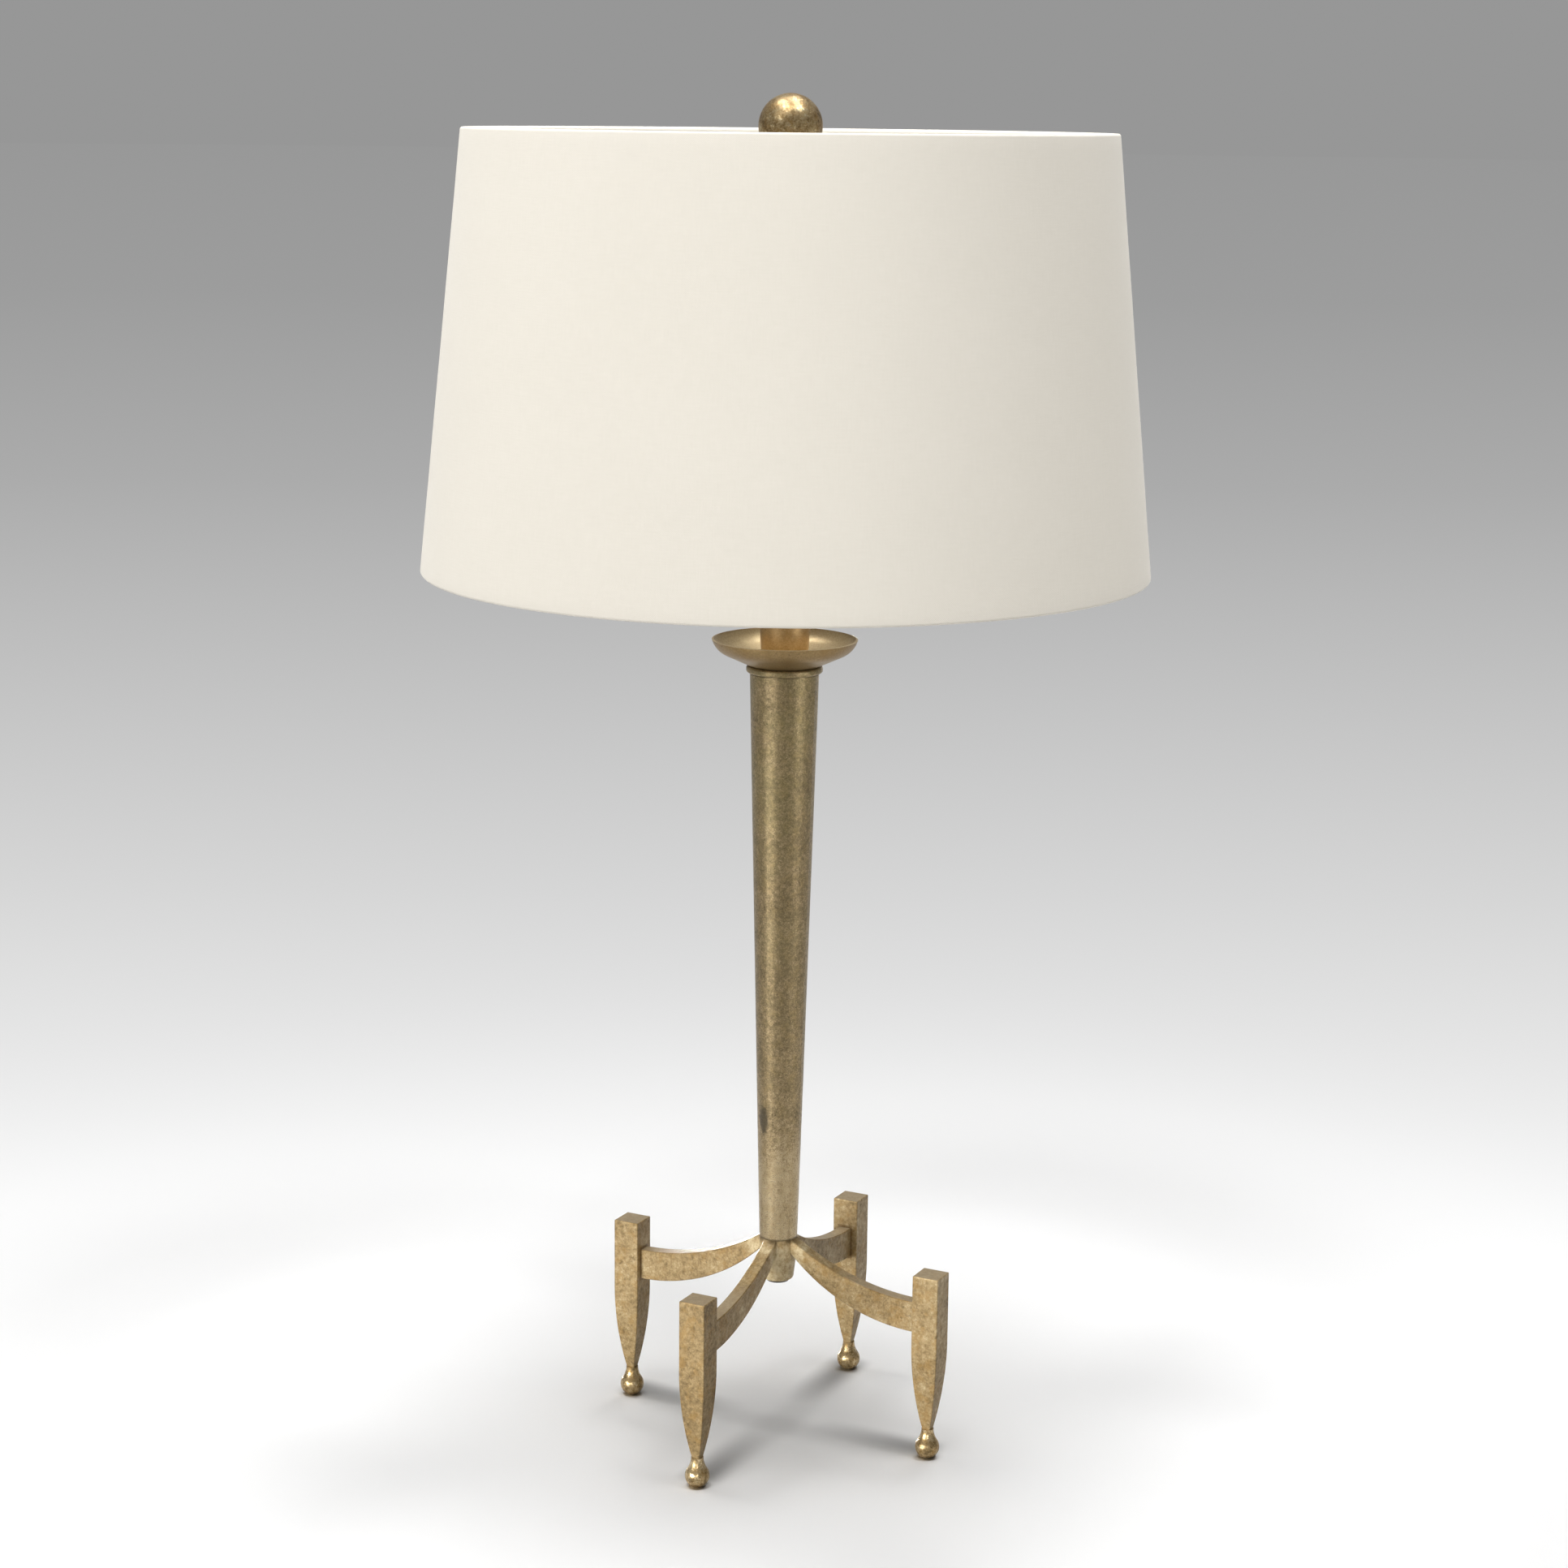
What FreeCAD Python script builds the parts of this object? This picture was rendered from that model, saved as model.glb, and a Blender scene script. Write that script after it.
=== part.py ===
import FreeCAD, Part
import math
import os
import Sketcher

# Table lamp: a gilt iron stand on four ball-footed posts, a tapered column, a drip saucer with a
# candle cup, a keyed bulb socket, and a fabric drum shade carried by a harp under a ball finial.
# Millimetres, +Z up. The origin is on the table, under the column's axis.
# The arms and posts lie along X and Y.

Vector = FreeCAD.Vector
doc = FreeCAD.newDocument("table_lamp")
sheet = doc.addObject("Spreadsheet::Sheet", "sizes")

# Driving sizes: name, value, meaning
driving_sizes = (
    ("post_circle_radius", 104.7, "lamp axis to the middle of each post"),
    ("post_side", 17.0, "square post across its faces"),
    ("post_top_z", 119.4, "flat top of the posts above the table"),
    ("post_taper_z", 75.0, "height where the posts start to narrow"),
    ("post_bottom_z", 19.0, "neck of the posts, on top of the ball feet"),
    ("post_neck_side", 5.3, "square post at its neck"),
    ("edge_round", 0.7, "rounded edges of the posts"),
    ("edge_bevel", 0.5, "bevelled edges of the arms"),
    ("foot_ball_dia", 15.0, "turned ball of each foot"),
    ("foot_flat_dia", 4.8, "flat that the ball stands on"),
    ("foot_neck_dia", 7.5, "round neck that meets the post"),
    ("foot_stud_dia", 3.0, "stud that holds the foot in the post"),
    ("foot_stud_length", 10.0, "stud above the neck"),
    ("arm_thickness", 8.6, "flat bar of the arms"),
    ("arm_top_z", 100.8, "upper edge of an arm at its post"),
    ("arm_bottom_z", 81.5, "lower edge of an arm at its post"),
    ("arm_root_depth", 9.3, "depth of an arm at the hub"),
    ("hub_bottom_z", 114.8, "underside of the hub"),
    ("hub_height", 11.5, "hub from its underside to the column"),
    ("hub_spigot_height", 8.0, "spigot that centres the column"),
    ("boss_height", 16.3, "cap under the hub"),
    ("boss_taper", 1.5, "cap narrower at its lower end, on the radius"),
    ("boss_round", 2.2, "rounded lower edge of the cap"),
    ("boss_wall", 2.2, "cap round the hollow for the nut"),
    ("boss_room_depth", 8.6, "depth of the hollow for the nut"),
    ("boss_room_gap", 0.9, "hollow round the washer"),
    ("bushing_hole_dia", 6.4, "way in for the lead"),
    ("bushing_barrel_dia", 11.0, "bushing inside the cap"),
    ("bushing_flange_dia", 14.0, "lip of the bushing under the cap"),
    ("bushing_flange", 1.2, "thickness of that lip"),
    ("bushing_length", 3.2, "bushing inside the cap's floor"),
    ("pipe_dia", 9.7, "threaded pipe that ties the stand together"),
    ("pipe_bore_dia", 7.0, "bore of the pipe for the leads"),
    ("pipe_into_socket", 7.0, "pipe above the harp saddle"),
    ("washer_lip", 0.2, "washer beyond the nut's corners"),
    ("washer_thickness", 1.4, "washer under the hub"),
    ("nut_across_flats", 14.0, "lock nut under the washer"),
    ("nut_height", 4.5, "lock nut under the washer"),
    ("column_length", 356.1, "tapered column"),
    ("column_foot_dia", 23.6, "column at the hub"),
    ("column_head_dia", 41.7, "column at the collar"),
    ("column_wall", 1.6, "tube wall of the column"),
    ("collar_dia", 46.2, "ring on top of the column"),
    ("collar_height", 4.9, "ring with its groove"),
    ("collar_groove", 0.7, "height of the groove under the ring"),
    ("collar_groove_depth", 0.5, "groove set back from the column"),
    ("collar_round", 1.6, "rounded edges of the ring"),
    ("collar_spigot_height", 9.0, "spigot that centres the column's head"),
    ("saucer_dia", 87.8, "drip saucer across its rim"),
    ("saucer_depth", 15.9, "rim above the collar"),
    ("saucer_foot_dia", 42.0, "flat foot of the saucer"),
    ("saucer_curl_width", 7.4, "rim beyond the place where the cone curls up"),
    ("saucer_break_rise", 7.1, "height of that place above the collar"),
    ("saucer_sheet", 1.2, "spun sheet of the saucer"),
    ("cup_height", 52.5, "candle cup on the saucer's floor"),
    ("cup_foot_dia", 27.8, "candle cup at the saucer"),
    ("cup_top_dia", 33.6, "candle cup at its lid"),
    ("cup_wall", 1.2, "sheet of the candle cup"),
    ("cup_floor", 2.0, "floor of the candle cup"),
    ("lid_thickness", 3.0, "lid of the candle cup"),
    ("lid_spigot", 3.0, "lid inside the cup"),
    ("saddle_span", 58.0, "harp saddle between the middles of its uprights"),
    ("saddle_strip", 1.6, "strip of the saddle"),
    ("saddle_edge", 1.5, "strip on each side of the pipe's hole"),
    ("saddle_bend", 4.0, "inner bend of the strip"),
    ("saddle_height", 19.0, "saddle's uprights above its underside"),
    ("peg_height", 8.0, "pegs that the harp's legs stand on"),
    ("harp_height", 242.0, "saddle's underside to the shade's seat"),
    ("harp_wire_dia", 3.6, "wire of the harp and pegs"),
    ("harp_half_width", 55.0, "bow of the harp, middle of the wire"),
    ("harp_leg", 28.0, "straight legs above the pegs"),
    ("harp_bend", 30.0, "bend where the legs turn outwards"),
    ("ferrule_length", 16.0, "locking sleeve on each leg"),
    ("ferrule_dia", 7.0, "locking sleeve"),
    ("ferrule_rim_dia", 8.4, "grip rim of the sleeve"),
    ("ferrule_rim", 2.4, "height of that rim"),
    ("ferrule_lip", 0.7, "upper end of the sleeve, beside the wire"),
    ("seat_dia", 20.0, "flange that the shade sits on"),
    ("seat_thickness", 2.0, "flange that the shade sits on"),
    ("stud_dia", 6.35, "screw that holds the finial"),
    ("stud_length", 13.0, "screw above the flange"),
    ("clip_length", 12.0, "clip of the flange along the wire"),
    ("clip_width", 9.0, "clip of the flange across the wire"),
    ("clip_depth", 5.0, "clip below the flange"),
    ("cap_height", 20.4, "brass cap of the socket"),
    ("cap_neck_dia", 15.0, "threaded neck of the cap"),
    ("cap_neck_height", 6.0, "threaded neck of the cap"),
    ("cap_rim", 6.0, "straight rim of the cap"),
    ("cap_sheet", 0.8, "sheet of the cap"),
    ("shell_length", 51.0, "brass shell of the socket"),
    ("shell_stop", 1.0, "lower end of the cap's rim below the shell"),
    ("shell_sheet", 0.6, "sheet of the shell"),
    ("liner_sheet", 0.7, "insulating sleeve in the shell"),
    ("liner_margin", 1.0, "shell beyond the sleeve's ends"),
    ("core_height", 20.0, "moulded switch core"),
    ("core_flat_depth", 2.85, "flats for the terminals, cut into the core"),
    ("core_flat_height", 8.0, "height of those flats"),
    ("terminal_dia", 5.0, "terminal screw heads"),
    ("terminal_head", 2.0, "height of those heads"),
    ("thread_length", 27.5, "screw shell for the bulb"),
    ("thread_sheet", 0.5, "sheet of the screw shell"),
    ("thread_room", 0.5, "room between the screw shell and the sleeve"),
    ("thread_floor_hole_dia", 12.0, "hole in the floor of the screw shell"),
    ("contact_dia", 7.0, "centre contact of the socket"),
    ("contact_height", 1.8, "centre contact of the socket"),
    ("key_rise", 11.5, "switch shaft above the core's underside"),
    ("key_shaft_dia", 4.0, "switch shaft"),
    ("key_shaft_inner", 5.0, "inner end of the shaft, from the axis"),
    ("key_shaft_engage", 8.5, "shaft inside the key's hub"),
    ("key_stand_off", 2.75, "key's hub beyond the socket's shell"),
    ("key_hub_length", 9.0, "hub of the key"),
    ("key_hub_dia", 7.4, "hub of the key"),
    ("key_wing_length", 15.0, "wing of the key beyond its hub"),
    ("key_wing_width", 17.0, "wing of the key"),
    ("key_wing_thickness", 3.6, "wing of the key"),
    ("bulb_length", 108.0, "bulb from its tip to its crown"),
    ("bulb_dia", 60.0, "bulb glass"),
    ("bulb_cap_dia", 26.2, "screw cap of the bulb"),
    ("bulb_cap_length", 20.8, "screw cap of the bulb"),
    ("bulb_neck_dia", 25.0, "glass where it leaves the cap"),
    ("bulb_glass_wall", 0.9, "glass of the bulb"),
    ("bulb_tip_dia", 8.4, "contact tip of the bulb"),
    ("bulb_tip_height", 1.6, "contact tip of the bulb"),
    ("bulb_insulator_dia", 20.0, "glass disc at the bulb's foot"),
    ("bulb_insulator_height", 3.0, "glass disc at the bulb's foot"),
    ("shade_height", 257.0, "shade from rim to rim"),
    ("shade_top_dia", 381.0, "shade across its top"),
    ("shade_bottom_dia", 433.0, "shade across its bottom"),
    ("shade_recess", 14.4, "top rim above the fitter's washer"),
    ("shade_fabric", 0.5, "linen outside"),
    ("shade_liner", 0.6, "stiff sheet inside"),
    ("shade_ring_dia", 3.2, "wire rings of the shade"),
    ("hem_cloth", 0.6, "hem turned over the rims"),
    ("hem_depth", 7.0, "hem inside the shade"),
    ("fitter_dia", 30.0, "washer of the shade's fitter"),
    ("fitter_thickness", 1.5, "washer of the shade's fitter"),
    ("spoke_dia", 3.2, "three spokes of the fitter"),
    ("finial_dia", 37.5, "ball finial"),
    ("finial_flat_dia", 15.6, "flat under the ball"),
    ("finial_bush_dia", 10.0, "threaded bush in the ball"),
    ("finial_bush_end", 1.0, "hole in the ball beyond the bush"),
    ("finial_hole_spare", 2.7, "hole in the ball beyond the screw"),
    ("seat_gap", 0.05, "room between fixed pieces that fit in each other"),
    ("pipe_gap", 0.1, "room round the pipe"),
    ("running_gap", 0.05, "room round shafts and threads that turn"),
    ("turn_gap", 0.1, "room between flat faces that turn on each other"),
    ("free_gap", 0.3, "room beside pieces that move past"),
    ("cut_margin", 2.0, "cutting shapes beyond the stock"),
)


class Size:
    """A number together with the sheet expression that gives it."""

    def __init__(self, value, text):
        self.value = value
        self.text = text

    def __add__(self, other):
        other = as_size(other)
        return Size(self.value + other.value, f"({self.text} + {other.text})")

    def __sub__(self, other):
        other = as_size(other)
        return Size(self.value - other.value, f"({self.text} - {other.text})")

    def __mul__(self, other):
        other = as_size(other)
        return Size(self.value * other.value, f"({self.text} * {other.text})")

    def __truediv__(self, other):
        other = as_size(other)
        return Size(self.value / other.value, f"({self.text} / {other.text})")

    def __radd__(self, other):
        return as_size(other) + self

    def __rsub__(self, other):
        return as_size(other) - self

    def __neg__(self):
        return Size(-self.value, f"(0 - {self.text})")

    def root(self):
        return Size(math.sqrt(self.value), f"sqrt({self.text})")


def as_size(number):
    return number if isinstance(number, Size) else Size(float(number), repr(float(number)))


class Sizes:
    """The driving sizes, each read from its cell of the sheet by name."""


size = Sizes()
for row, (name, value, meaning) in enumerate(driving_sizes, start=1):
    sheet.set(f"A{row}", name)
    sheet.set(f"B{row}", str(value))
    sheet.set(f"C{row}", meaning)
    sheet.setAlias(f"B{row}", name)
    setattr(size, name, Size(value, f"sizes.{name}"))
doc.recompute()

nodes = []


def bind(item, prop, length):
    item.setExpression(prop, as_size(length).text)


def new_body(label):
    body = doc.addObject("PartDesign::Body", label)
    nodes.append(body)
    return body


def new_sketch(body, plane, lift=None):
    """Empty sketch on one of the body's own planes, raised along its normal by lift."""
    sketch = body.newObject("Sketcher::SketchObject", f"{body.Label}_sketch")
    origin_plane = [item for item in body.Origin.OriginFeatures if item.Role == plane][0]
    sketch.AttachmentSupport = [(origin_plane, "")]
    sketch.MapMode = "FlatFace"
    if lift is not None:
        bind(sketch, "AttachmentOffset.Base.z", lift)
    return sketch


def pin(sketch, edge, end, kind, along):
    """Hold one end of an edge at a distance from the sketch's origin, to either side."""
    along = as_size(along)
    axis = {"DistanceX": -2, "DistanceY": -1}[kind]
    if along.value == 0:
        sketch.addConstraint(Sketcher.Constraint("PointOnObject", edge, end, axis))
    elif along.value > 0:
        index = sketch.addConstraint(Sketcher.Constraint(kind, -1, 1, edge, end, along.value))
        bind(sketch, f"Constraints[{index}]", along)
    else:
        index = sketch.addConstraint(Sketcher.Constraint(kind, edge, end, -1, 1, -along.value))
        bind(sketch, f"Constraints[{index}]", -along)


def arc_between(start, end, radius, turn):
    """Arc under half a circle from start to end, turning left (1) or right (-1) on its way."""
    chord = end - start
    left = Vector(-chord.y, chord.x, 0).normalize()
    rise = math.sqrt(max(radius ** 2 - chord.Length ** 2 / 4, 0))
    centre = (start + end) * 0.5 + left * (rise * turn)
    first, last = (start, end) if turn > 0 else (end, start)
    angles = [math.atan2(point.y - centre.y, point.x - centre.x) for point in (first, last)]
    return Part.ArcOfCircle(Part.Circle(centre, Vector(0, 0, 1), radius), *angles)


def draw(sketch, corners, closed=True):
    """Lines and arcs through pinned corners. A corner is (x, y), or (x, y, (radius, turn)) where
    the edge that leaves it is an arc."""
    points = [Vector(as_size(corner[0]).value, as_size(corner[1]).value, 0) for corner in corners]
    count = len(corners) if closed else len(corners) - 1
    ends = []
    for number in range(count):
        start, end = points[number], points[(number + 1) % len(points)]
        if len(corners[number]) == 2:
            edge = sketch.addGeometry(Part.LineSegment(start, end), False)
            ends.append((edge, 1, 2))
        else:
            radius, turn = corners[number][2]
            radius = as_size(radius)
            edge = sketch.addGeometry(arc_between(start, end, radius.value, turn), False)
            index = sketch.addConstraint(Sketcher.Constraint("Radius", edge, radius.value))
            bind(sketch, f"Constraints[{index}]", radius)
            ends.append((edge, 1, 2) if turn > 0 else (edge, 2, 1))
    joints = count if closed else count - 1
    for number in range(joints):
        edge, _, leaving = ends[number]
        following, entering, _ = ends[(number + 1) % count]
        sketch.addConstraint(Sketcher.Constraint("Coincident", edge, leaving, following, entering))
    for number, corner in enumerate(corners):
        edge, end = (ends[number][0], ends[number][1]) if number < count else (ends[-1][0], ends[-1][2])
        pin(sketch, edge, end, "DistanceX", corner[0])
        pin(sketch, edge, end, "DistanceY", corner[1])
    return sketch


def draw_circle(sketch, x, y, dia):
    radius = as_size(dia) / 2
    centre = Vector(as_size(x).value, as_size(y).value, 0)
    edge = sketch.addGeometry(Part.Circle(centre, Vector(0, 0, 1), radius.value), False)
    index = sketch.addConstraint(Sketcher.Constraint("Radius", edge, radius.value))
    bind(sketch, f"Constraints[{index}]", radius)
    pin(sketch, edge, 3, "DistanceX", x)
    pin(sketch, edge, 3, "DistanceY", y)
    return sketch


def add_feature(body, kind, sketch):
    feature = body.newObject(f"PartDesign::{kind}", f"{body.Label}_{kind.lower()}")
    feature.Profile = sketch
    return feature


def revolve(body, corners, kind="Revolution", plane="XZ_Plane"):
    """Turn a profile of (radius, height) corners about the body's upright sketch axis."""
    sketch = draw(new_sketch(body, plane), corners)
    feature = add_feature(body, kind, sketch)
    feature.ReferenceAxis = (sketch, ["V_Axis"])
    feature.Angle = 360
    return feature


def pad(body, sketch, length, symmetric=False):
    feature = add_feature(body, "Pad", sketch)
    bind(feature, "Length", length)
    feature.SideType = "Symmetric" if symmetric else "One side"
    return feature


def cut_through(body, sketch):
    """Cut the sketch right through the body, both ways from its plane."""
    feature = add_feature(body, "Pocket", sketch)
    feature.SideType = "Symmetric"
    feature.Type = "ThroughAll"
    return feature


def bore(body, plane, height, dia, start=0):
    """Round hole at a height, along the plane's normal from a start outwards."""
    sketch = draw_circle(new_sketch(body, plane, start), 0, height, dia)
    hole = add_feature(body, "Pocket", sketch)
    hole.Type = "ThroughAll"
    hole.Reversed = True
    return hole


def polar(body, feature, count):
    """Repeat a feature about the body's own Z axis."""
    pattern = body.newObject("PartDesign::PolarPattern", f"{body.Label}_polar")
    pattern.Originals = [feature]
    z_axis = [item for item in body.Origin.OriginFeatures if item.Role == "Z_Axis"][0]
    pattern.Axis = (z_axis, [""])
    pattern.Angle = 360
    pattern.Occurrences = count
    body.Tip = pattern
    return pattern


def soften(body, feature, wanted, kind, length):
    """Fillet or chamfer the edges of a feature that a test picks."""
    doc.recompute()
    picked = [f"Edge{i}" for i, edge in enumerate(feature.Shape.Edges, start=1) if wanted(edge)]
    dressing = body.newObject(f"PartDesign::{kind}", f"{body.Label}_{kind.lower()}")
    dressing.Base = (feature, picked)
    bind(dressing, {"Fillet": "Radius", "Chamfer": "Size"}[kind], length)


def turned(label, corners):
    body = new_body(label)
    revolve(body, corners)
    return body


def place(body, radius, quarter):
    """Stand a body at a radius from the lamp's axis, a number of quarter turns from +X."""
    across, along = ((1, 0), (0, 1), (-1, 0), (0, -1))[quarter]
    body.Placement = FreeCAD.Placement(
        Vector(), FreeCAD.Rotation(Vector(0, 0, 1), 90 * quarter))
    if across:
        bind(body, "Placement.Base.x", radius * across)
    if along:
        bind(body, "Placement.Base.y", radius * along)


sides = ("right", "back", "left", "front")

# Heights that follow from the stack of pieces
hub_top = size.hub_bottom_z + size.hub_height
boss_bottom = size.hub_bottom_z - size.boss_height
column_top = hub_top + size.column_length
collar_top = column_top + size.collar_height
saucer_floor = collar_top + size.saucer_sheet
saucer_rim = collar_top + size.saucer_depth
cup_top = saucer_floor + size.cup_height
lid_top = cup_top + size.lid_thickness
saddle_top = lid_top + size.saddle_strip
seat_top = lid_top + size.harp_height
fitter_bottom = seat_top + size.turn_gap
fitter_top = fitter_bottom + size.fitter_thickness
shade_top = fitter_top + size.shade_recess
shade_bottom = shade_top - size.shade_height
pipe_hole = size.pipe_dia / 2 + size.pipe_gap

# Four posts: square bars that narrow in a bow on all four faces to a small neck
post_half = size.post_side / 2
neck_half = size.post_neck_side / 2
bow_run = post_half - neck_half
bow_drop = size.post_taper_z - size.post_bottom_z
bow_radius = (bow_run * bow_run + bow_drop * bow_drop) / (bow_run * 2)
stud_top = size.post_bottom_z + size.foot_stud_length
post_profile = (
    (neck_half, size.post_bottom_z, (bow_radius, 1)),
    (post_half, size.post_taper_z),
    (post_half, size.post_top_z),
    (-post_half, size.post_top_z),
    (-post_half, size.post_taper_z, (bow_radius, 1)),
    (-neck_half, size.post_bottom_z),
)
cut_edge = post_half + size.cut_margin
cut_base = size.post_bottom_z - size.cut_margin
post_side_cut = (
    (neck_half, size.post_bottom_z, (bow_radius, 1)),
    (post_half, size.post_taper_z),
    (cut_edge, size.post_taper_z),
    (cut_edge, cut_base),
    (neck_half, cut_base),
)


def is_post_edge(edge):
    """Long outer edges and the rim of the top face, not the neck."""
    low, high = edge.BoundBox.ZMin, edge.BoundBox.ZMax
    on_top = low > size.post_top_z.value - size.edge_round.value
    upright = high - low > size.post_side.value
    return on_top or upright


for quarter, side in enumerate(sides):
    post = new_body(f"post_{side}")
    pad(post, draw(new_sketch(post, "XZ_Plane"), post_profile), size.post_side, symmetric=True)
    side_cuts = new_sketch(post, "YZ_Plane")
    draw(side_cuts, post_side_cut)
    mirrored_cut = [(-x, y, *((bend[0], -bend[1]) for bend in arc)) for x, y, *arc in post_side_cut]
    draw(side_cuts, mirrored_cut)
    bowed = cut_through(post, side_cuts)
    soften(post, bowed, is_post_edge, "Fillet", size.edge_round)
    stud_hole = size.foot_stud_dia / 2 + size.seat_gap
    revolve(post, (
        (0, cut_base), (stud_hole, cut_base),
        (stud_hole, stud_top + size.seat_gap), (0, stud_top + size.seat_gap),
    ), kind="Groove")
    place(post, size.post_circle_radius, quarter)

# Four turned feet: a ball with a small flat, flaring into the post's neck, on a stud
ball = size.foot_ball_dia / 2
foot_flat = size.foot_flat_dia / 2
foot_neck = size.foot_neck_dia / 2
ball_z = (ball * ball - foot_flat * foot_flat).root()
neck_rise = size.post_bottom_z - ball_z
flare = (neck_rise * neck_rise + foot_neck * foot_neck - ball * ball) / ((ball - foot_neck) * 2)
touch_share = ball / (ball + flare)
touch = ((foot_neck + flare) * touch_share, ball_z + neck_rise * touch_share)
for quarter, side in enumerate(sides):
    foot = turned(f"ball_foot_{side}", (
        (0, 0), (foot_flat, 0, (ball, 1)),
        (touch[0], touch[1], (flare, -1)),
        (foot_neck, size.post_bottom_z),
        (size.foot_stud_dia / 2, size.post_bottom_z),
        (size.foot_stud_dia / 2, stud_top), (0, stud_top),
    ))
    place(foot, size.post_circle_radius, quarter)

# Four arms: flat bars that leave the posts level and sweep up to the hub, thinning on the way
hub_radius = size.column_foot_dia / 2
arm_half = size.arm_thickness / 2
arm_root = (hub_radius * hub_radius - arm_half * arm_half).root()
arm_tip = size.post_circle_radius - post_half
arm_run = arm_tip - arm_root
root_bottom = hub_top - size.arm_root_depth


def sweep_radius(rise):
    """Arc that starts level at the post and reaches the hub, higher by rise."""
    return (arm_run * arm_run + rise * rise) / (rise * 2)


def is_arm_edge(edge):
    """The four long curved edges."""
    return edge.BoundBox.XLength > arm_run.value / 2


for quarter, side in enumerate(sides):
    arm = new_body(f"arm_{side}")
    bar = pad(arm, draw(new_sketch(arm, "XZ_Plane"), (
        (arm_root, root_bottom, (sweep_radius(root_bottom - size.arm_bottom_z), 1)),
        (arm_tip, size.arm_bottom_z),
        (arm_tip, size.arm_top_z, (sweep_radius(hub_top - size.arm_top_z), -1)),
        (arm_root, hub_top),
    )), size.arm_thickness, symmetric=True)
    soften(arm, bar, is_arm_edge, "Chamfer", size.edge_bevel)
    arm.Placement = FreeCAD.Placement(Vector(), FreeCAD.Rotation(Vector(0, 0, 1), 90 * quarter))

# Hub: a turned block with a flat for each arm and a spigot into the column
spigot = hub_radius - size.column_wall - size.seat_gap
hub = turned("hub", (
    (pipe_hole, size.hub_bottom_z), (hub_radius, size.hub_bottom_z), (hub_radius, hub_top),
    (spigot, hub_top), (spigot, hub_top + size.hub_spigot_height),
    (pipe_hole, hub_top + size.hub_spigot_height),
))
flat_out = hub_radius + size.cut_margin
flat = cut_through(hub, draw(new_sketch(hub, "XY_Plane"), (
    (arm_root, -arm_half), (flat_out, -arm_half), (flat_out, arm_half), (arm_root, arm_half),
)))
polar(hub, flat, len(sides))

# Washer and lock nut that pull the pipe down against the hub
nut_flat = size.nut_across_flats / 2
nut_corner = size.nut_across_flats / as_size(3).root()
washer = nut_corner + size.washer_lip
washer_bottom = size.hub_bottom_z - size.washer_thickness
turned("hub_washer", (
    (pipe_hole, washer_bottom), (washer, washer_bottom),
    (washer, size.hub_bottom_z), (pipe_hole, size.hub_bottom_z),
))
nut = new_body("hub_nut")
nut_bottom = washer_bottom - size.nut_height
nut_sketch = draw(new_sketch(nut, "XY_Plane", nut_bottom), (
    (nut_corner, 0), (nut_corner / 2, nut_flat), (-nut_corner / 2, nut_flat),
    (-nut_corner, 0), (-nut_corner / 2, -nut_flat), (nut_corner / 2, -nut_flat),
))
draw_circle(nut_sketch, 0, 0, size.pipe_dia + size.seat_gap * 2)
pad(nut, nut_sketch, size.nut_height)

# Cap under the hub, hollow round the nut, with the lead's bushing in its floor
nut_room = washer + size.boss_room_gap
boss_top = nut_room + size.boss_wall
boss_low = boss_top - size.boss_taper
room_floor = size.hub_bottom_z - size.boss_room_depth
bushing_top = boss_bottom + size.bushing_length
bushing_seat = size.bushing_barrel_dia / 2 + size.seat_gap
turned("hub_cap", (
    (nut_room, size.hub_bottom_z), (nut_room, room_floor), (pipe_hole, room_floor),
    (pipe_hole, bushing_top), (bushing_seat, bushing_top), (bushing_seat, boss_bottom),
    (boss_low - size.boss_round, boss_bottom, (size.boss_round, 1)),
    (boss_low, boss_bottom + size.boss_round), (boss_top, size.hub_bottom_z),
))
turned("lead_bushing", (
    (size.bushing_hole_dia / 2, boss_bottom - size.bushing_flange),
    (size.bushing_flange_dia / 2, boss_bottom - size.bushing_flange),
    (size.bushing_flange_dia / 2, boss_bottom), (size.bushing_barrel_dia / 2, boss_bottom),
    (size.bushing_barrel_dia / 2, bushing_top), (size.bushing_hole_dia / 2, bushing_top),
))

# Threaded pipe from the cap to the socket
pipe_top = saddle_top + size.pipe_into_socket
turned("lamp_pipe", (
    (size.pipe_bore_dia / 2, bushing_top), (size.pipe_dia / 2, bushing_top),
    (size.pipe_dia / 2, pipe_top), (size.pipe_bore_dia / 2, pipe_top),
))

# Tapered column tube
head_radius = size.column_head_dia / 2
turned("column", (
    (hub_radius - size.column_wall, hub_top), (hub_radius, hub_top),
    (head_radius, column_top), (head_radius - size.column_wall, column_top),
))

# Collar: a rounded ring over a fine groove, with a spigot into the column's head
collar_edge = size.collar_dia / 2
collar_flat = collar_edge - size.collar_round
groove_radius = head_radius - size.collar_groove_depth
groove_top = column_top + size.collar_groove
column_taper = (head_radius - hub_radius) / size.column_length
head_spigot = (head_radius - size.column_wall - size.seat_gap
               - column_taper * size.collar_spigot_height)
turned("collar", (
    (pipe_hole, column_top - size.collar_spigot_height),
    (head_spigot, column_top - size.collar_spigot_height), (head_spigot, column_top),
    (groove_radius, column_top), (groove_radius, groove_top),
    (collar_flat, groove_top, (size.collar_round, 1)),
    (collar_edge, groove_top + size.collar_round),
    (collar_edge, collar_top - size.collar_round, (size.collar_round, 1)),
    (collar_flat, collar_top), (pipe_hole, collar_top),
))

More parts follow.
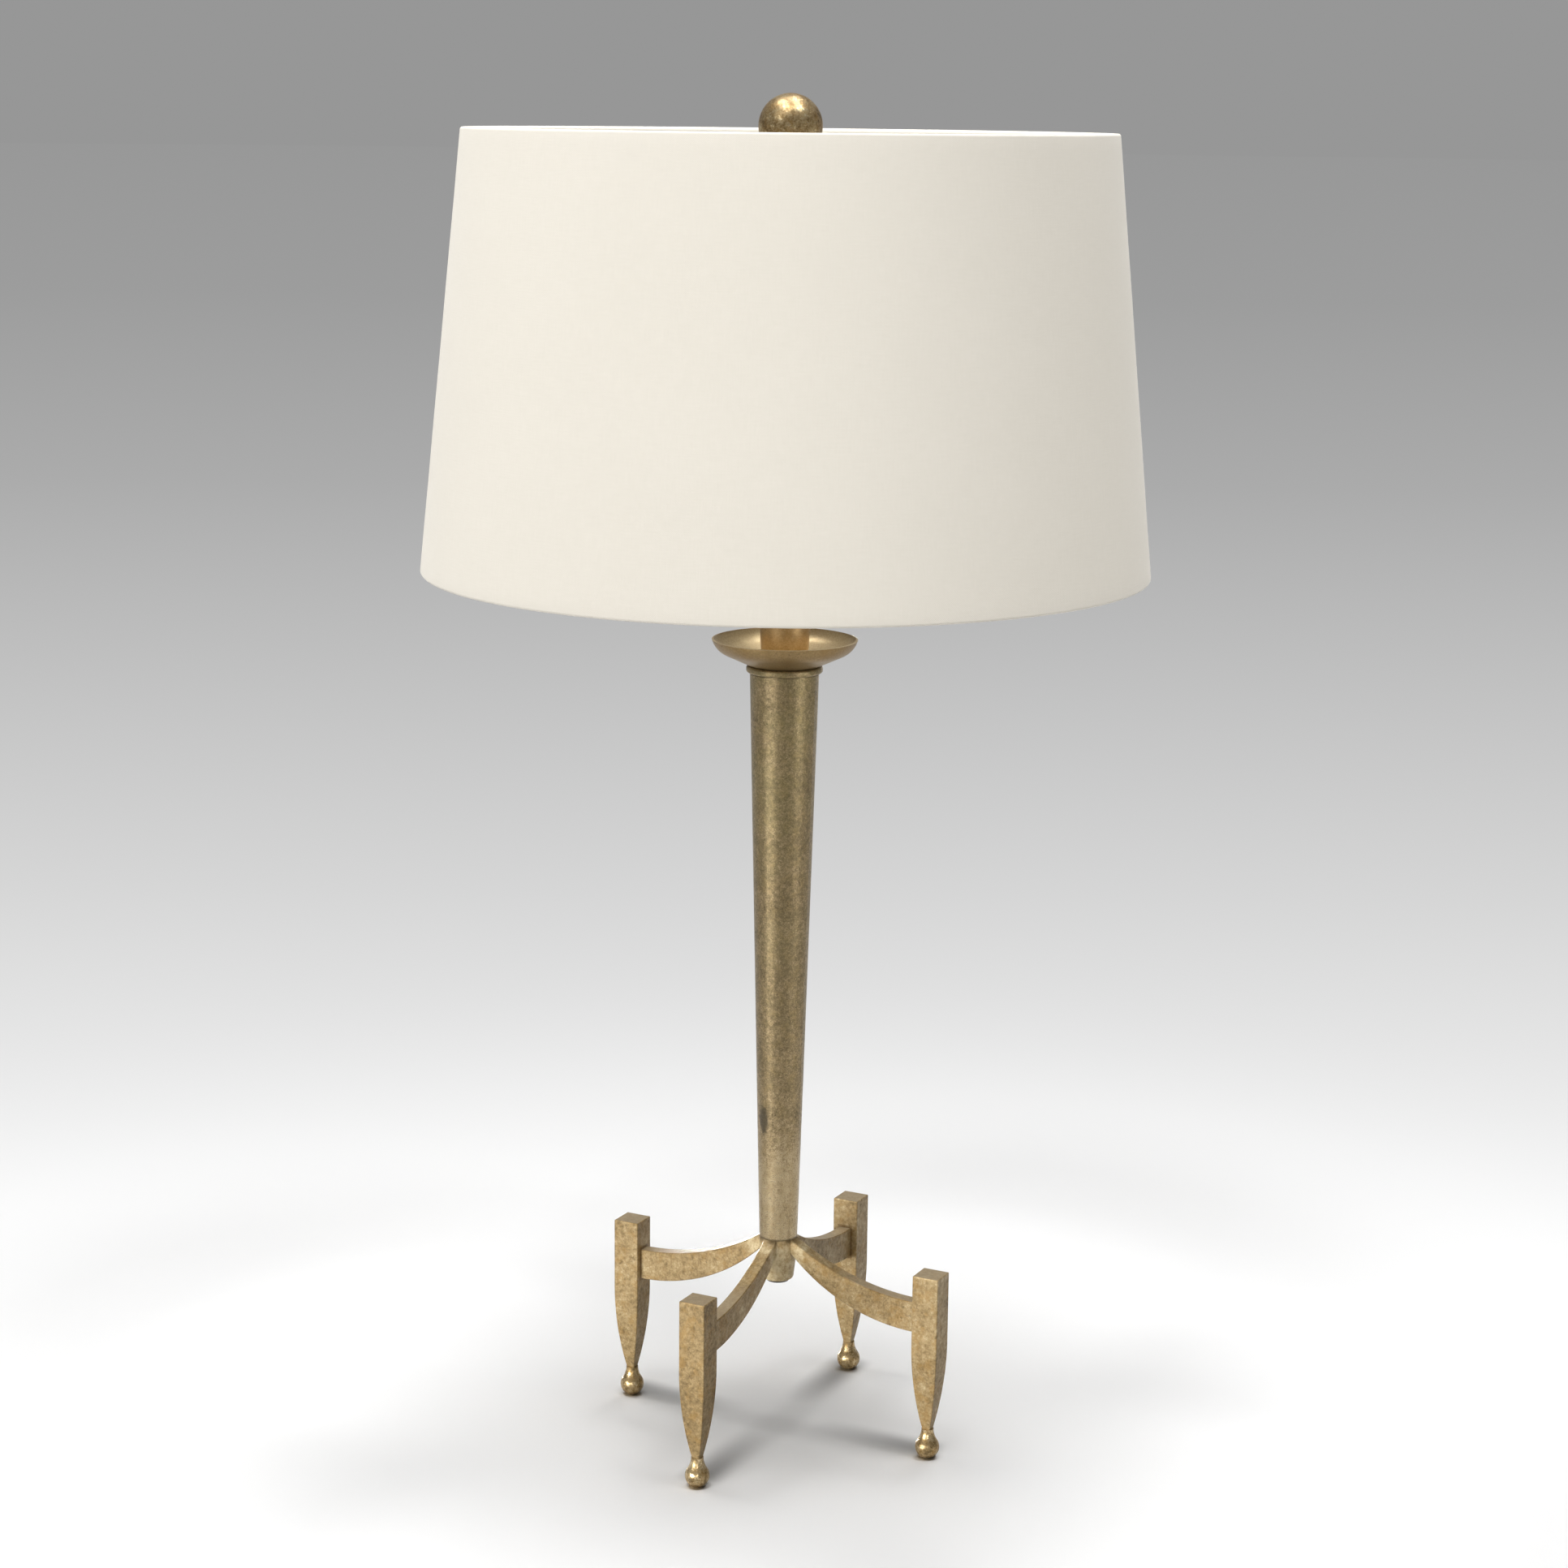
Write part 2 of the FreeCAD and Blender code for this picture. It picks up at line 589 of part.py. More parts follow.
# Saucer: a flat foot, a shallow cone and a rim that curls up, spun from one sheet
foot_radius = size.saucer_foot_dia / 2
rim_radius = size.saucer_dia / 2
break_radius = rim_radius - size.saucer_curl_width
break_z = collar_top + size.saucer_break_rise
cone_run = break_radius - foot_radius
cone_length = (cone_run * cone_run + size.saucer_break_rise * size.saucer_break_rise).root()
cone_cos = cone_run / cone_length
cone_sin = size.saucer_break_rise / cone_length
curl_run = size.saucer_curl_width
curl_rise = saucer_rim - break_z
curl = (curl_run * curl_run + curl_rise * curl_rise) / (
    (curl_rise * cone_cos - curl_run * cone_sin) * 2)
curl_centre = (break_radius - curl * cone_sin, break_z + curl * cone_cos)
rim_share = (curl - size.saucer_sheet) / curl
rim_inside = (curl_centre[0] + (rim_radius - curl_centre[0]) * rim_share,
              curl_centre[1] + (saucer_rim - curl_centre[1]) * rim_share)
foot_inside = foot_radius - size.saucer_sheet * cone_sin / (cone_cos + 1)
turned("saucer", (
    (pipe_hole, collar_top), (foot_radius, collar_top),
    (break_radius, break_z, (curl, 1)),
    (rim_radius, saucer_rim), (rim_inside[0], rim_inside[1], (curl - size.saucer_sheet, -1)),
    (break_radius - size.saucer_sheet * cone_sin, break_z + size.saucer_sheet * cone_cos),
    (foot_inside, saucer_floor), (pipe_hole, saucer_floor),
))

# Candle cup standing in the saucer, and the lid that carries the harp saddle
cup_foot = size.cup_foot_dia / 2
cup_lip = size.cup_top_dia / 2
cup_taper = (cup_lip - cup_foot) / size.cup_height
cup_inside_low = cup_foot - size.cup_wall + cup_taper * size.cup_floor
turned("candle_cup", (
    (pipe_hole, saucer_floor), (cup_foot, saucer_floor), (cup_lip, cup_top),
    (cup_lip - size.cup_wall, cup_top), (cup_inside_low, saucer_floor + size.cup_floor),
    (pipe_hole, saucer_floor + size.cup_floor),
))
lid_fit = cup_lip - size.cup_wall - size.seat_gap - cup_taper * size.lid_spigot
turned("cup_lid", (
    (pipe_hole, cup_top - size.lid_spigot), (lid_fit, cup_top - size.lid_spigot),
    (lid_fit, cup_top), (cup_lip, cup_top), (cup_lip, lid_top), (pipe_hole, lid_top),
))

# Harp saddle: a bent strip clamped under the socket, with a peg on each upright
leg_x = size.saddle_span / 2
strip_half = size.saddle_strip / 2
bend_out = size.saddle_bend + size.saddle_strip
bend_x = leg_x - strip_half - size.saddle_bend
bend_z = lid_top + bend_out
upright_top = lid_top + size.saddle_height
peg_top = upright_top + size.peg_height
saddle = new_body("harp_saddle")
pad(saddle, draw(new_sketch(saddle, "XZ_Plane"), (
    (-(leg_x + strip_half), upright_top), (-(leg_x + strip_half), bend_z, (bend_out, 1)),
    (-bend_x, lid_top), (bend_x, lid_top, (bend_out, 1)),
    (leg_x + strip_half, bend_z), (leg_x + strip_half, upright_top),
    (leg_x - strip_half, upright_top), (leg_x - strip_half, bend_z, (size.saddle_bend, -1)),
    (bend_x, saddle_top), (-bend_x, saddle_top, (size.saddle_bend, -1)),
    (-(leg_x - strip_half), bend_z), (-(leg_x - strip_half), upright_top),
)), (pipe_hole + size.saddle_edge) * 2, symmetric=True)
cut_through(saddle, draw_circle(new_sketch(saddle, "XY_Plane"), 0, 0, pipe_hole * 2))
pegs = new_sketch(saddle, "XY_Plane", upright_top)
for side_x in (leg_x, -leg_x):
    draw_circle(pegs, side_x, 0, size.harp_wire_dia)
pad(saddle, pegs, size.peg_height)

# Harp: one wire, straight legs that lean out by a bend and close in a wide bow
wire = size.harp_wire_dia / 2
apex_z = seat_top - size.seat_thickness - wire - size.seat_gap
bow = size.harp_half_width
bow_z = apex_z - bow
leg_top = peg_top + size.harp_leg
bend_centre_x = leg_x + size.harp_bend
gap_x = -bend_centre_x
gap_z = bow_z - leg_top
gap = (gap_x * gap_x + gap_z * gap_z).root()
lean_sin = (size.harp_bend + bow) / gap
lean_cos = (1 - lean_sin * lean_sin).root()
run_x = (gap_x * lean_cos + gap_z * lean_sin) / gap
run_z = (gap_z * lean_cos - gap_x * lean_sin) / gap
bend_end = (bend_centre_x - size.harp_bend * run_z, leg_top + size.harp_bend * run_x)
bow_start = (bow * run_z, bow_z - bow * run_x)
harp = new_body("harp_wire")
harp_path = draw(new_sketch(harp, "XZ_Plane"), (
    (leg_x, peg_top), (leg_x, leg_top, (size.harp_bend, -1)),
    bend_end, (bow_start[0], bow_start[1], (bow, 1)),
    (0, apex_z, (bow, 1)), (-bow_start[0], bow_start[1]),
    (-bend_end[0], bend_end[1], (size.harp_bend, -1)),
    (-leg_x, leg_top), (-leg_x, peg_top),
), closed=False)
harp_section = draw_circle(new_sketch(harp, "XY_Plane", peg_top), leg_x, 0, size.harp_wire_dia)
harp_pipe = add_feature(harp, "AdditivePipe", harp_section)
harp_pipe.Spine = harp_path

# Two ferrules that lock the harp's legs to the pegs and slide up to free them
ferrule_hole = wire + size.running_gap
ferrule_base = upright_top + size.free_gap
ferrule_body = size.ferrule_dia / 2
for quarter, side in ((0, "right"), (2, "left")):
    ferrule = turned(f"harp_ferrule_{side}", (
        (ferrule_hole, ferrule_base), (size.ferrule_rim_dia / 2, ferrule_base),
        (size.ferrule_rim_dia / 2, ferrule_base + size.ferrule_rim),
        (ferrule_body, ferrule_base + size.ferrule_rim),
        (ferrule_body, ferrule_base + size.ferrule_length - size.ferrule_rim),
        (ferrule_hole + size.ferrule_lip, ferrule_base + size.ferrule_length),
        (ferrule_hole, ferrule_base + size.ferrule_length),
    ))
    place(ferrule, leg_x, quarter)

# Shade seat on the harp: a flange with the finial's screw above and a clip over the wire below
seat_bottom = seat_top - size.seat_thickness
stud_radius = size.stud_dia / 2
seat = turned("harp_seat", (
    (0, seat_bottom), (size.seat_dia / 2, seat_bottom), (size.seat_dia / 2, seat_top),
    (stud_radius, seat_top), (stud_radius, seat_top + size.stud_length),
    (0, seat_top + size.stud_length),
))
clip_x = size.clip_length / 2
clip_y = size.clip_width / 2
clip_bottom = seat_bottom - size.clip_depth
pad(seat, draw(new_sketch(seat, "XY_Plane", clip_bottom), (
    (-clip_x, -clip_y), (clip_x, -clip_y), (clip_x, clip_y), (-clip_x, clip_y),
)), size.clip_depth)
slot = wire + size.seat_gap
cut_through(seat, draw(new_sketch(seat, "YZ_Plane"), (
    (-slot, clip_bottom - size.cut_margin), (slot, clip_bottom - size.cut_margin),
    (slot, seat_bottom), (-slot, seat_bottom),
)))

# Socket radii, from the bulb's screw cap outwards
bulb_cap = size.bulb_cap_dia / 2
thread_inside = bulb_cap + size.free_gap
thread_outside = thread_inside + size.thread_sheet
liner_inside = thread_outside + size.thread_room
liner_radius = liner_inside + size.liner_sheet
shell_inside = liner_radius + size.seat_gap
shell_radius = shell_inside + size.shell_sheet
cap_inside = shell_radius + size.seat_gap
cap_radius = cap_inside + size.cap_sheet
core_radius = liner_inside - size.seat_gap

# Socket cap: a threaded neck that opens into a cup for the shell
cap_neck = size.cap_neck_dia / 2
neck_top = saddle_top + size.cap_neck_height
cap_top = saddle_top + size.cap_height
rim_start = cap_top - size.cap_rim
turned("socket_cap", (
    (pipe_hole, saddle_top), (cap_neck, saddle_top), (cap_neck, neck_top),
    (cap_radius, rim_start), (cap_radius, cap_top), (cap_inside, cap_top),
    (cap_inside, rim_start), (cap_neck - size.cap_sheet, neck_top),
    (pipe_hole, neck_top),
))

# Socket shell, insulating sleeve and switch core, with a hole for the switch shaft
shell_bottom = rim_start + size.shell_stop
shell_top = shell_bottom + size.shell_length
core_bottom = shell_bottom
core_top = core_bottom + size.core_height
key_z = core_bottom + size.key_rise
shaft_hole = size.key_shaft_dia + size.running_gap * 2


shell = turned("socket_shell", (
    (shell_inside, shell_bottom), (shell_radius, shell_bottom),
    (shell_radius, shell_top), (shell_inside, shell_top),
))
bore(shell, "XZ_Plane", key_z, shaft_hole)
liner_bottom = shell_bottom + size.liner_margin
liner_top = shell_top - size.liner_margin
liner = turned("socket_liner", (
    (liner_inside, liner_bottom), (liner_radius, liner_bottom),
    (liner_radius, liner_top), (liner_inside, liner_top),
))
bore(liner, "XZ_Plane", key_z, shaft_hole)
core = turned("switch_core", (
    (0, core_bottom), (core_radius, core_bottom), (core_radius, core_top), (0, core_top),
))
core_flat = core_radius - size.core_flat_depth
core_out = core_radius + size.cut_margin
flat_top = core_bottom + size.core_flat_height
core_flats = new_sketch(core, "XZ_Plane")
for sign in (1, -1):
    draw(core_flats, (
        (core_flat * sign, core_bottom - size.cut_margin),
        (core_out * sign, core_bottom - size.cut_margin),
        (core_out * sign, flat_top), (core_flat * sign, flat_top),
    ))
cut_through(core, core_flats)
bore(core, "XZ_Plane", key_z, shaft_hole, size.key_shaft_inner)

# Two terminal screws on the core's flats
terminal_z = core_bottom + size.core_flat_height / 2
screws = []
for sign in (1, -1):
    screw = doc.addObject("Part::Cylinder", "terminal_screw")
    bind(screw, "Radius", size.terminal_dia / 2)
    bind(screw, "Height", size.terminal_head)
    screw.Placement = FreeCAD.Placement(Vector(), FreeCAD.Rotation(Vector(0, 1, 0), 90 * sign))
    bind(screw, "Placement.Base.x", core_flat * sign)
    bind(screw, "Placement.Base.z", terminal_z)
    screws.append(screw)
terminals = doc.addObject("Part::Compound", "terminal_screws")
terminals.Links = screws
nodes.append(terminals)

# Screw shell for the bulb and the contact in its floor
thread_top = core_top + size.thread_length
thread_hole = size.thread_floor_hole_dia / 2
turned("screw_shell", (
    (thread_hole, core_top), (thread_outside, core_top), (thread_outside, thread_top),
    (thread_inside, thread_top), (thread_inside, core_top + size.thread_sheet),
    (thread_hole, core_top + size.thread_sheet),
))
contact_top = core_top + size.contact_height
turned("centre_contact", (
    (0, core_top), (size.contact_dia / 2, core_top), (size.contact_dia / 2, contact_top),
    (0, contact_top),
))

# Switch shaft and the winged key on it, both along -Y at the shaft's height
hub_start = shell_radius + size.key_stand_off
hub_end = hub_start + size.key_hub_length
shaft_inner = size.key_shaft_inner + size.turn_gap
shaft_outer = hub_start + size.key_shaft_engage
shaft = doc.addObject("Part::Cylinder", "switch_shaft")
bind(shaft, "Radius", size.key_shaft_dia / 2)
bind(shaft, "Height", shaft_outer - shaft_inner)
shaft.Placement = FreeCAD.Placement(Vector(), FreeCAD.Rotation(Vector(1, 0, 0), 90))
bind(shaft, "Placement.Base.y", -shaft_inner)
bind(shaft, "Placement.Base.z", key_z)
nodes.append(shaft)

key = new_body("switch_key")
key_hub = size.key_hub_dia / 2
wing_end = hub_end + size.key_wing_length
wing_half = size.key_wing_width / 2
wing_waist = wing_end - wing_half
pad(key, draw(new_sketch(key, "XY_Plane"), (
    (-key_hub, -hub_end), (-wing_half, -wing_waist, (wing_half, 1)),
    (0, -wing_end, (wing_half, 1)), (wing_half, -wing_waist), (key_hub, -hub_end),
)), size.key_wing_thickness, symmetric=True)
key_bore = size.key_shaft_dia / 2 + size.seat_gap
revolve(key, (
    (0, -hub_end - size.cut_margin), (key_hub, -hub_end - size.cut_margin),
    (key_hub, -hub_start), (0, -hub_start),
), plane="XY_Plane")
revolve(key, (
    (0, -shaft_outer - size.seat_gap), (key_bore, -shaft_outer - size.seat_gap),
    (key_bore, -hub_start + size.cut_margin), (0, -hub_start + size.cut_margin),
), kind="Groove", plane="XY_Plane")
bind(key, "Placement.Base.z", key_z)

# Bulb: contact tip, glass disc, screw cap and a round glass envelope
tip_bottom = contact_top + size.free_gap
tip_top = tip_bottom + size.bulb_tip_height
insulator_top = tip_top + size.bulb_insulator_height
bulb_cap_top = insulator_top + size.bulb_cap_length
crown_z = tip_bottom + size.bulb_length
bulb_tip = size.bulb_tip_dia / 2
turned("bulb_tip", ((0, tip_bottom), (bulb_tip, tip_bottom), (bulb_tip, tip_top), (0, tip_top)))
turned("bulb_insulator", (
    (0, tip_top), (bulb_tip, tip_top), (size.bulb_insulator_dia / 2, insulator_top),
    (0, insulator_top),
))
turned("bulb_cap", (
    (0, insulator_top), (size.bulb_insulator_dia / 2, insulator_top),
    (bulb_cap, insulator_top + size.bulb_insulator_height), (bulb_cap, bulb_cap_top),
    (0, bulb_cap_top),
))
globe = size.bulb_dia / 2
globe_z = crown_z - globe
bulb_neck = size.bulb_neck_dia / 2
neck_gap = globe_z - bulb_cap_top
bulb_flare = (neck_gap * neck_gap + bulb_neck * bulb_neck - globe * globe) / (
    (globe - bulb_neck) * 2)
globe_share = globe / (globe + bulb_flare)
shoulder = ((bulb_neck + bulb_flare) * globe_share, globe_z - neck_gap * globe_share)
inner_globe = globe - size.bulb_glass_wall
inner_share = inner_globe / globe
inner_flare = bulb_flare + size.bulb_glass_wall
inner_neck = bulb_neck - size.bulb_glass_wall
inner_shoulder = (shoulder[0] * inner_share, globe_z - neck_gap * globe_share * inner_share)
turned("bulb_glass", (
    (inner_neck, bulb_cap_top), (bulb_neck, bulb_cap_top, (bulb_flare, -1)),
    (shoulder[0], shoulder[1], (globe, 1)), (0, crown_z),
    (0, crown_z - size.bulb_glass_wall, (inner_globe, -1)),
    (inner_shoulder[0], inner_shoulder[1], (inner_flare, 1)),
))

# Shade: linen outside, a stiff sheet inside, both ending under the turned hems
rim_top = size.shade_top_dia / 2
rim_bottom = size.shade_bottom_dia / 2
shade_taper = (rim_bottom - rim_top) / size.shade_height
sheet_top = shade_top - size.hem_cloth
sheet_bottom = shade_bottom + size.hem_cloth


def shade_radius(height, inset):
    """Radius of the shade's wall at a height, set in from its outer face."""
    return rim_top + (shade_top - height) * shade_taper - inset


def shade_sheet(label, outer, inner):
    turned(label, (
        (shade_radius(sheet_bottom, outer), sheet_bottom), (shade_radius(sheet_top, outer), sheet_top),
        (shade_radius(sheet_top, inner), sheet_top), (shade_radius(sheet_bottom, inner), sheet_bottom),
    ))


liner_outer = size.shade_fabric + size.seat_gap
liner_inner = liner_outer + size.shade_liner
shade_sheet("shade_fabric", 0, size.shade_fabric)
shade_sheet("shade_liner", liner_outer, liner_inner)

# Wire rings in the rims, and the fitter's washer with three spokes to the upper ring
ring = size.shade_ring_dia / 2
ring_inset = liner_inner + size.seat_gap + ring
ring_top_z = sheet_top - ring - size.seat_gap
ring_bottom_z = sheet_bottom + ring + size.seat_gap
ring_margin = ring * shade_taper


def wire_ring(label, radius, height):
    body = new_body(label)
    sketch = draw_circle(new_sketch(body, "XZ_Plane"), radius, height, size.shade_ring_dia)
    feature = add_feature(body, "Revolution", sketch)
    feature.ReferenceAxis = (sketch, ["V_Axis"])
    feature.Angle = 360


top_ring_radius = shade_radius(ring_top_z, ring_inset) - ring_margin
bottom_ring_radius = shade_radius(ring_bottom_z, ring_inset) - ring_margin
wire_ring("shade_top_ring", top_ring_radius, ring_top_z)
wire_ring("shade_bottom_ring", bottom_ring_radius, ring_bottom_z)
fitter_radius = size.fitter_dia / 2
turned("fitter_washer", (
    (stud_radius + size.free_gap, fitter_bottom), (fitter_radius, fitter_bottom),
    (fitter_radius, fitter_top), (stud_radius + size.free_gap, fitter_top),
))
spoke_start = fitter_radius + size.seat_gap
spoke_end = top_ring_radius - ring - size.seat_gap
spoke_start_z = fitter_bottom + size.fitter_thickness / 2
spoke_end_z = ring_top_z - ring / 2
spoke_angles = (0, 120, 240)
for number, angle in enumerate(spoke_angles, start=1):
    spoke = new_body(f"fitter_spoke_{number}")
    spoke_path = draw(new_sketch(spoke, "XZ_Plane"), (
        (spoke_start, spoke_start_z), (spoke_end, spoke_end_z),
    ), closed=False)
    spoke_section = draw_circle(
        new_sketch(spoke, "YZ_Plane", spoke_start), 0, spoke_start_z, size.spoke_dia)
    add_feature(spoke, "AdditivePipe", spoke_section).Spine = spoke_path
    spoke.Placement = FreeCAD.Placement(Vector(), FreeCAD.Rotation(Vector(0, 0, 1), angle))


def hem(label, rim, edge, ring_radius, away):
    """Cloth strip over one rim and along the inside of its ring. away is 1 where it runs down."""
    ring_side = ring_radius - ring - size.seat_gap
    cloth_side = ring_side - size.hem_cloth
    end = rim - size.hem_depth * away
    return turned(label, (
        (shade_radius(edge, 0), edge), (shade_radius(rim, 0), rim), (cloth_side, rim),
        (cloth_side, end), (ring_side, end), (ring_side, edge),
    ))


upper_hem = hem("hem_top", shade_top, sheet_top, top_ring_radius, 1)
spoke_notch = bore(upper_hem, "YZ_Plane", spoke_end_z, size.spoke_dia + size.free_gap * 2)
polar(upper_hem, spoke_notch, len(spoke_angles))
hem("hem_bottom", shade_bottom, sheet_bottom, bottom_ring_radius, -1)

# Ball finial with a threaded bush, standing on the fitter's washer
finial_bottom = fitter_top + size.turn_gap
finial_ball = size.finial_dia / 2
finial_flat = size.finial_flat_dia / 2
finial_z = finial_bottom + (finial_ball * finial_ball - finial_flat * finial_flat).root()
finial_top = finial_z + finial_ball
bush = size.finial_bush_dia / 2
hole_top = seat_top + size.stud_length + size.finial_hole_spare
bush_top = hole_top - size.finial_bush_end
turned("finial_ball", (
    (bush + size.seat_gap, finial_bottom), (finial_flat, finial_bottom, (finial_ball, 1)),
    (0, finial_top), (0, hole_top), (bush + size.seat_gap, hole_top),
))
turned("finial_bush", (
    (stud_radius + size.running_gap, finial_bottom), (bush, finial_bottom), (bush, bush_top),
    (stud_radius + size.running_gap, bush_top),
))

# Build, check and write every piece
doc.recompute()
faults = [item.Label for item in doc.Objects if set(item.State) & {"Invalid", "Error"}]
for item in nodes:
    if item.Shape.isNull() or not item.Shape.isValid() or not item.Shape.Solids:
        faults.append(item.Label)
if faults:
    raise RuntimeError("failed pieces: " + ", ".join(faults))
os.makedirs("parts", exist_ok=True)
for item in nodes:
    item.Shape.exportStep(f"parts/{item.Label}.step")
    box = item.Shape.BoundBox
    print(f"{item.Label}: {len(item.Shape.Solids)} solid, {item.Shape.Volume:.1f} mm3, "
          f"z {box.ZMin:.2f} to {box.ZMax:.2f}")
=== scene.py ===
import math

import bpy
import numpy as np
from mathutils import Matrix, Vector


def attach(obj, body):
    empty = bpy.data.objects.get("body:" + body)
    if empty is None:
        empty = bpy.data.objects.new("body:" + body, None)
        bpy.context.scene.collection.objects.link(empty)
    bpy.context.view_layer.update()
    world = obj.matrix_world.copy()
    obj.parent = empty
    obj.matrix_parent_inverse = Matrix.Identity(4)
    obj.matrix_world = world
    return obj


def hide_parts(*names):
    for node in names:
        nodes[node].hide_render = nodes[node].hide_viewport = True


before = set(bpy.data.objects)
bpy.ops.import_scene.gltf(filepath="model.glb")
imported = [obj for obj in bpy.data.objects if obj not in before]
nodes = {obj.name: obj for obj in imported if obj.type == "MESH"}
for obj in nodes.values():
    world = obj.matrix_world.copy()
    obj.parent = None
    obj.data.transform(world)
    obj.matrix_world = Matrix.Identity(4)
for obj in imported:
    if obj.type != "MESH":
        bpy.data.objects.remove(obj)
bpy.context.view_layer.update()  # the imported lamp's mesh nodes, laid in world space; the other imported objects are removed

print("frame loaded:", len(nodes), "nodes")


def ink(code):  # a screen colour, written as hex, as the linear colour that shaders take
    parts = [int(code[i:i + 2], 16) / 255 for i in (1, 3, 5)]
    return tuple(p / 12.92 if p <= 0.04045 else ((p + 0.055) / 1.055) ** 2.4 for p in parts) + (1.0,)


class Wire:  # one output socket; sums of wires and numbers add Math nodes
    def __init__(self, finish, socket):
        self.finish = finish
        self.socket = socket

    def maths(self, operation, first, second=0.0):
        return self.finish.add("Math", {"operation": operation}, {0: first, 1: second})

    def __add__(self, other):
        return self.maths("ADD", self, other)

    def __radd__(self, other):
        return self.maths("ADD", other, self)

    def __sub__(self, other):
        return self.maths("SUBTRACT", self, other)

    def __rsub__(self, other):
        return self.maths("SUBTRACT", other, self)

    def __mul__(self, other):
        return self.maths("MULTIPLY", self, other)

    def __rmul__(self, other):
        return self.maths("MULTIPLY", other, self)

    def __truediv__(self, other):
        return self.maths("DIVIDE", self, other)

    def __pow__(self, other):
        return self.maths("POWER", self, other)

    def sine(self):
        return self.maths("SINE", self)

    def most(self, other):
        return self.maths("MAXIMUM", self, other)

    def least(self, other):
        return self.maths("MINIMUM", self, other)

    def size(self):  # without its sign
        return self.maths("ABSOLUTE", self)

    def rise(self, low, high):  # 0 below low, 1 above high, smooth between
        return self.finish.add("MapRange", {"interpolation_type": "SMOOTHSTEP"},
                               {"Value": self, "From Min": low, "From Max": high})


class Finish:  # the nodes of one material or of the world
    def __init__(self, owner):
        self.owner = owner
        owner.use_nodes = True
        self.tree = owner.node_tree
        self.tree.nodes.clear()
        self.place = self.add("TexCoord", out="Object")

    def add(self, kind, settings=None, values=None, out=0):  # node type, settings, socket values or links
        made = self.tree.nodes.new("ShaderNode" + kind)
        for name, value in (settings or {}).items():
            if name == "stops":
                band = made.color_ramp.elements
                while len(band) < len(value):
                    band.new(1.0)
                for element, (position, colour) in zip(band, value):
                    element.position = position
                    element.color = colour
            else:
                setattr(made, name, value)
        for name, value in (values or {}).items():
            if isinstance(value, Wire):
                self.tree.links.new(value.socket, made.inputs[name])
            else:
                made.inputs[name].default_value = value
        return Wire(self, made.outputs[out]) if len(made.outputs) else None

    def cloud(self, perMetre, detail=2.0, rough=0.5, stretch=None, where=None):  # noise on the piece
        where = where or self.place
        if stretch:
            where = self.add("Mapping", {}, {"Vector": where, "Scale": stretch})
        return self.add("TexNoise", {}, {"Vector": where, "Scale": perMetre, "Detail": detail,
                                         "Roughness": rough})

    def ramp(self, value, stops):
        return self.add("ValToRGB", {"stops": stops}, {"Fac": value})

    def tint(self, share, under, over):  # one colour laid over another by a share
        return self.add("Mix", {"data_type": "RGBA"}, {0: share, 6: under, 7: over}, out=2)

    def grain(self, height, strength, depth):
        return self.add("Bump", {}, {"Strength": strength, "Distance": depth, "Height": height})

    def axes(self, where=None):
        split = self.add("SeparateXYZ", {}, {"Vector": where or self.place})
        return [Wire(self, socket) for socket in split.socket.node.outputs]

    def upward(self):  # 1 on level tops, 0 on upright faces, -1 below
        return self.axes(self.add("NewGeometry", out="Normal"))[2]

    def looked(self):  # 1 where the camera, a reflection or glass looks, 0 for light that only fills
        flags = self.add("LightPath").socket.node.outputs
        camera, glossy, glass = (Wire(self, flags[name]) for name in
                                 ("Is Camera Ray", "Is Glossy Ray", "Is Transmission Ray"))
        return camera.most(glossy).most(glass)

    def show(self, shader):
        self.add("OutputWorld" if isinstance(self.owner, bpy.types.World) else "OutputMaterial", {},
                 {"Surface": shader})
        return self.owner


def newMaterial(name):
    return Finish(bpy.data.materials.new(name))


def fromAxis(x, y):  # distance from the lamp's axis
    return (x * x + y * y) ** 0.5


def onCross(x, y):  # distances along and beside the nearest of the four arms
    return x.size().most(y.size()), x.size().least(y.size())


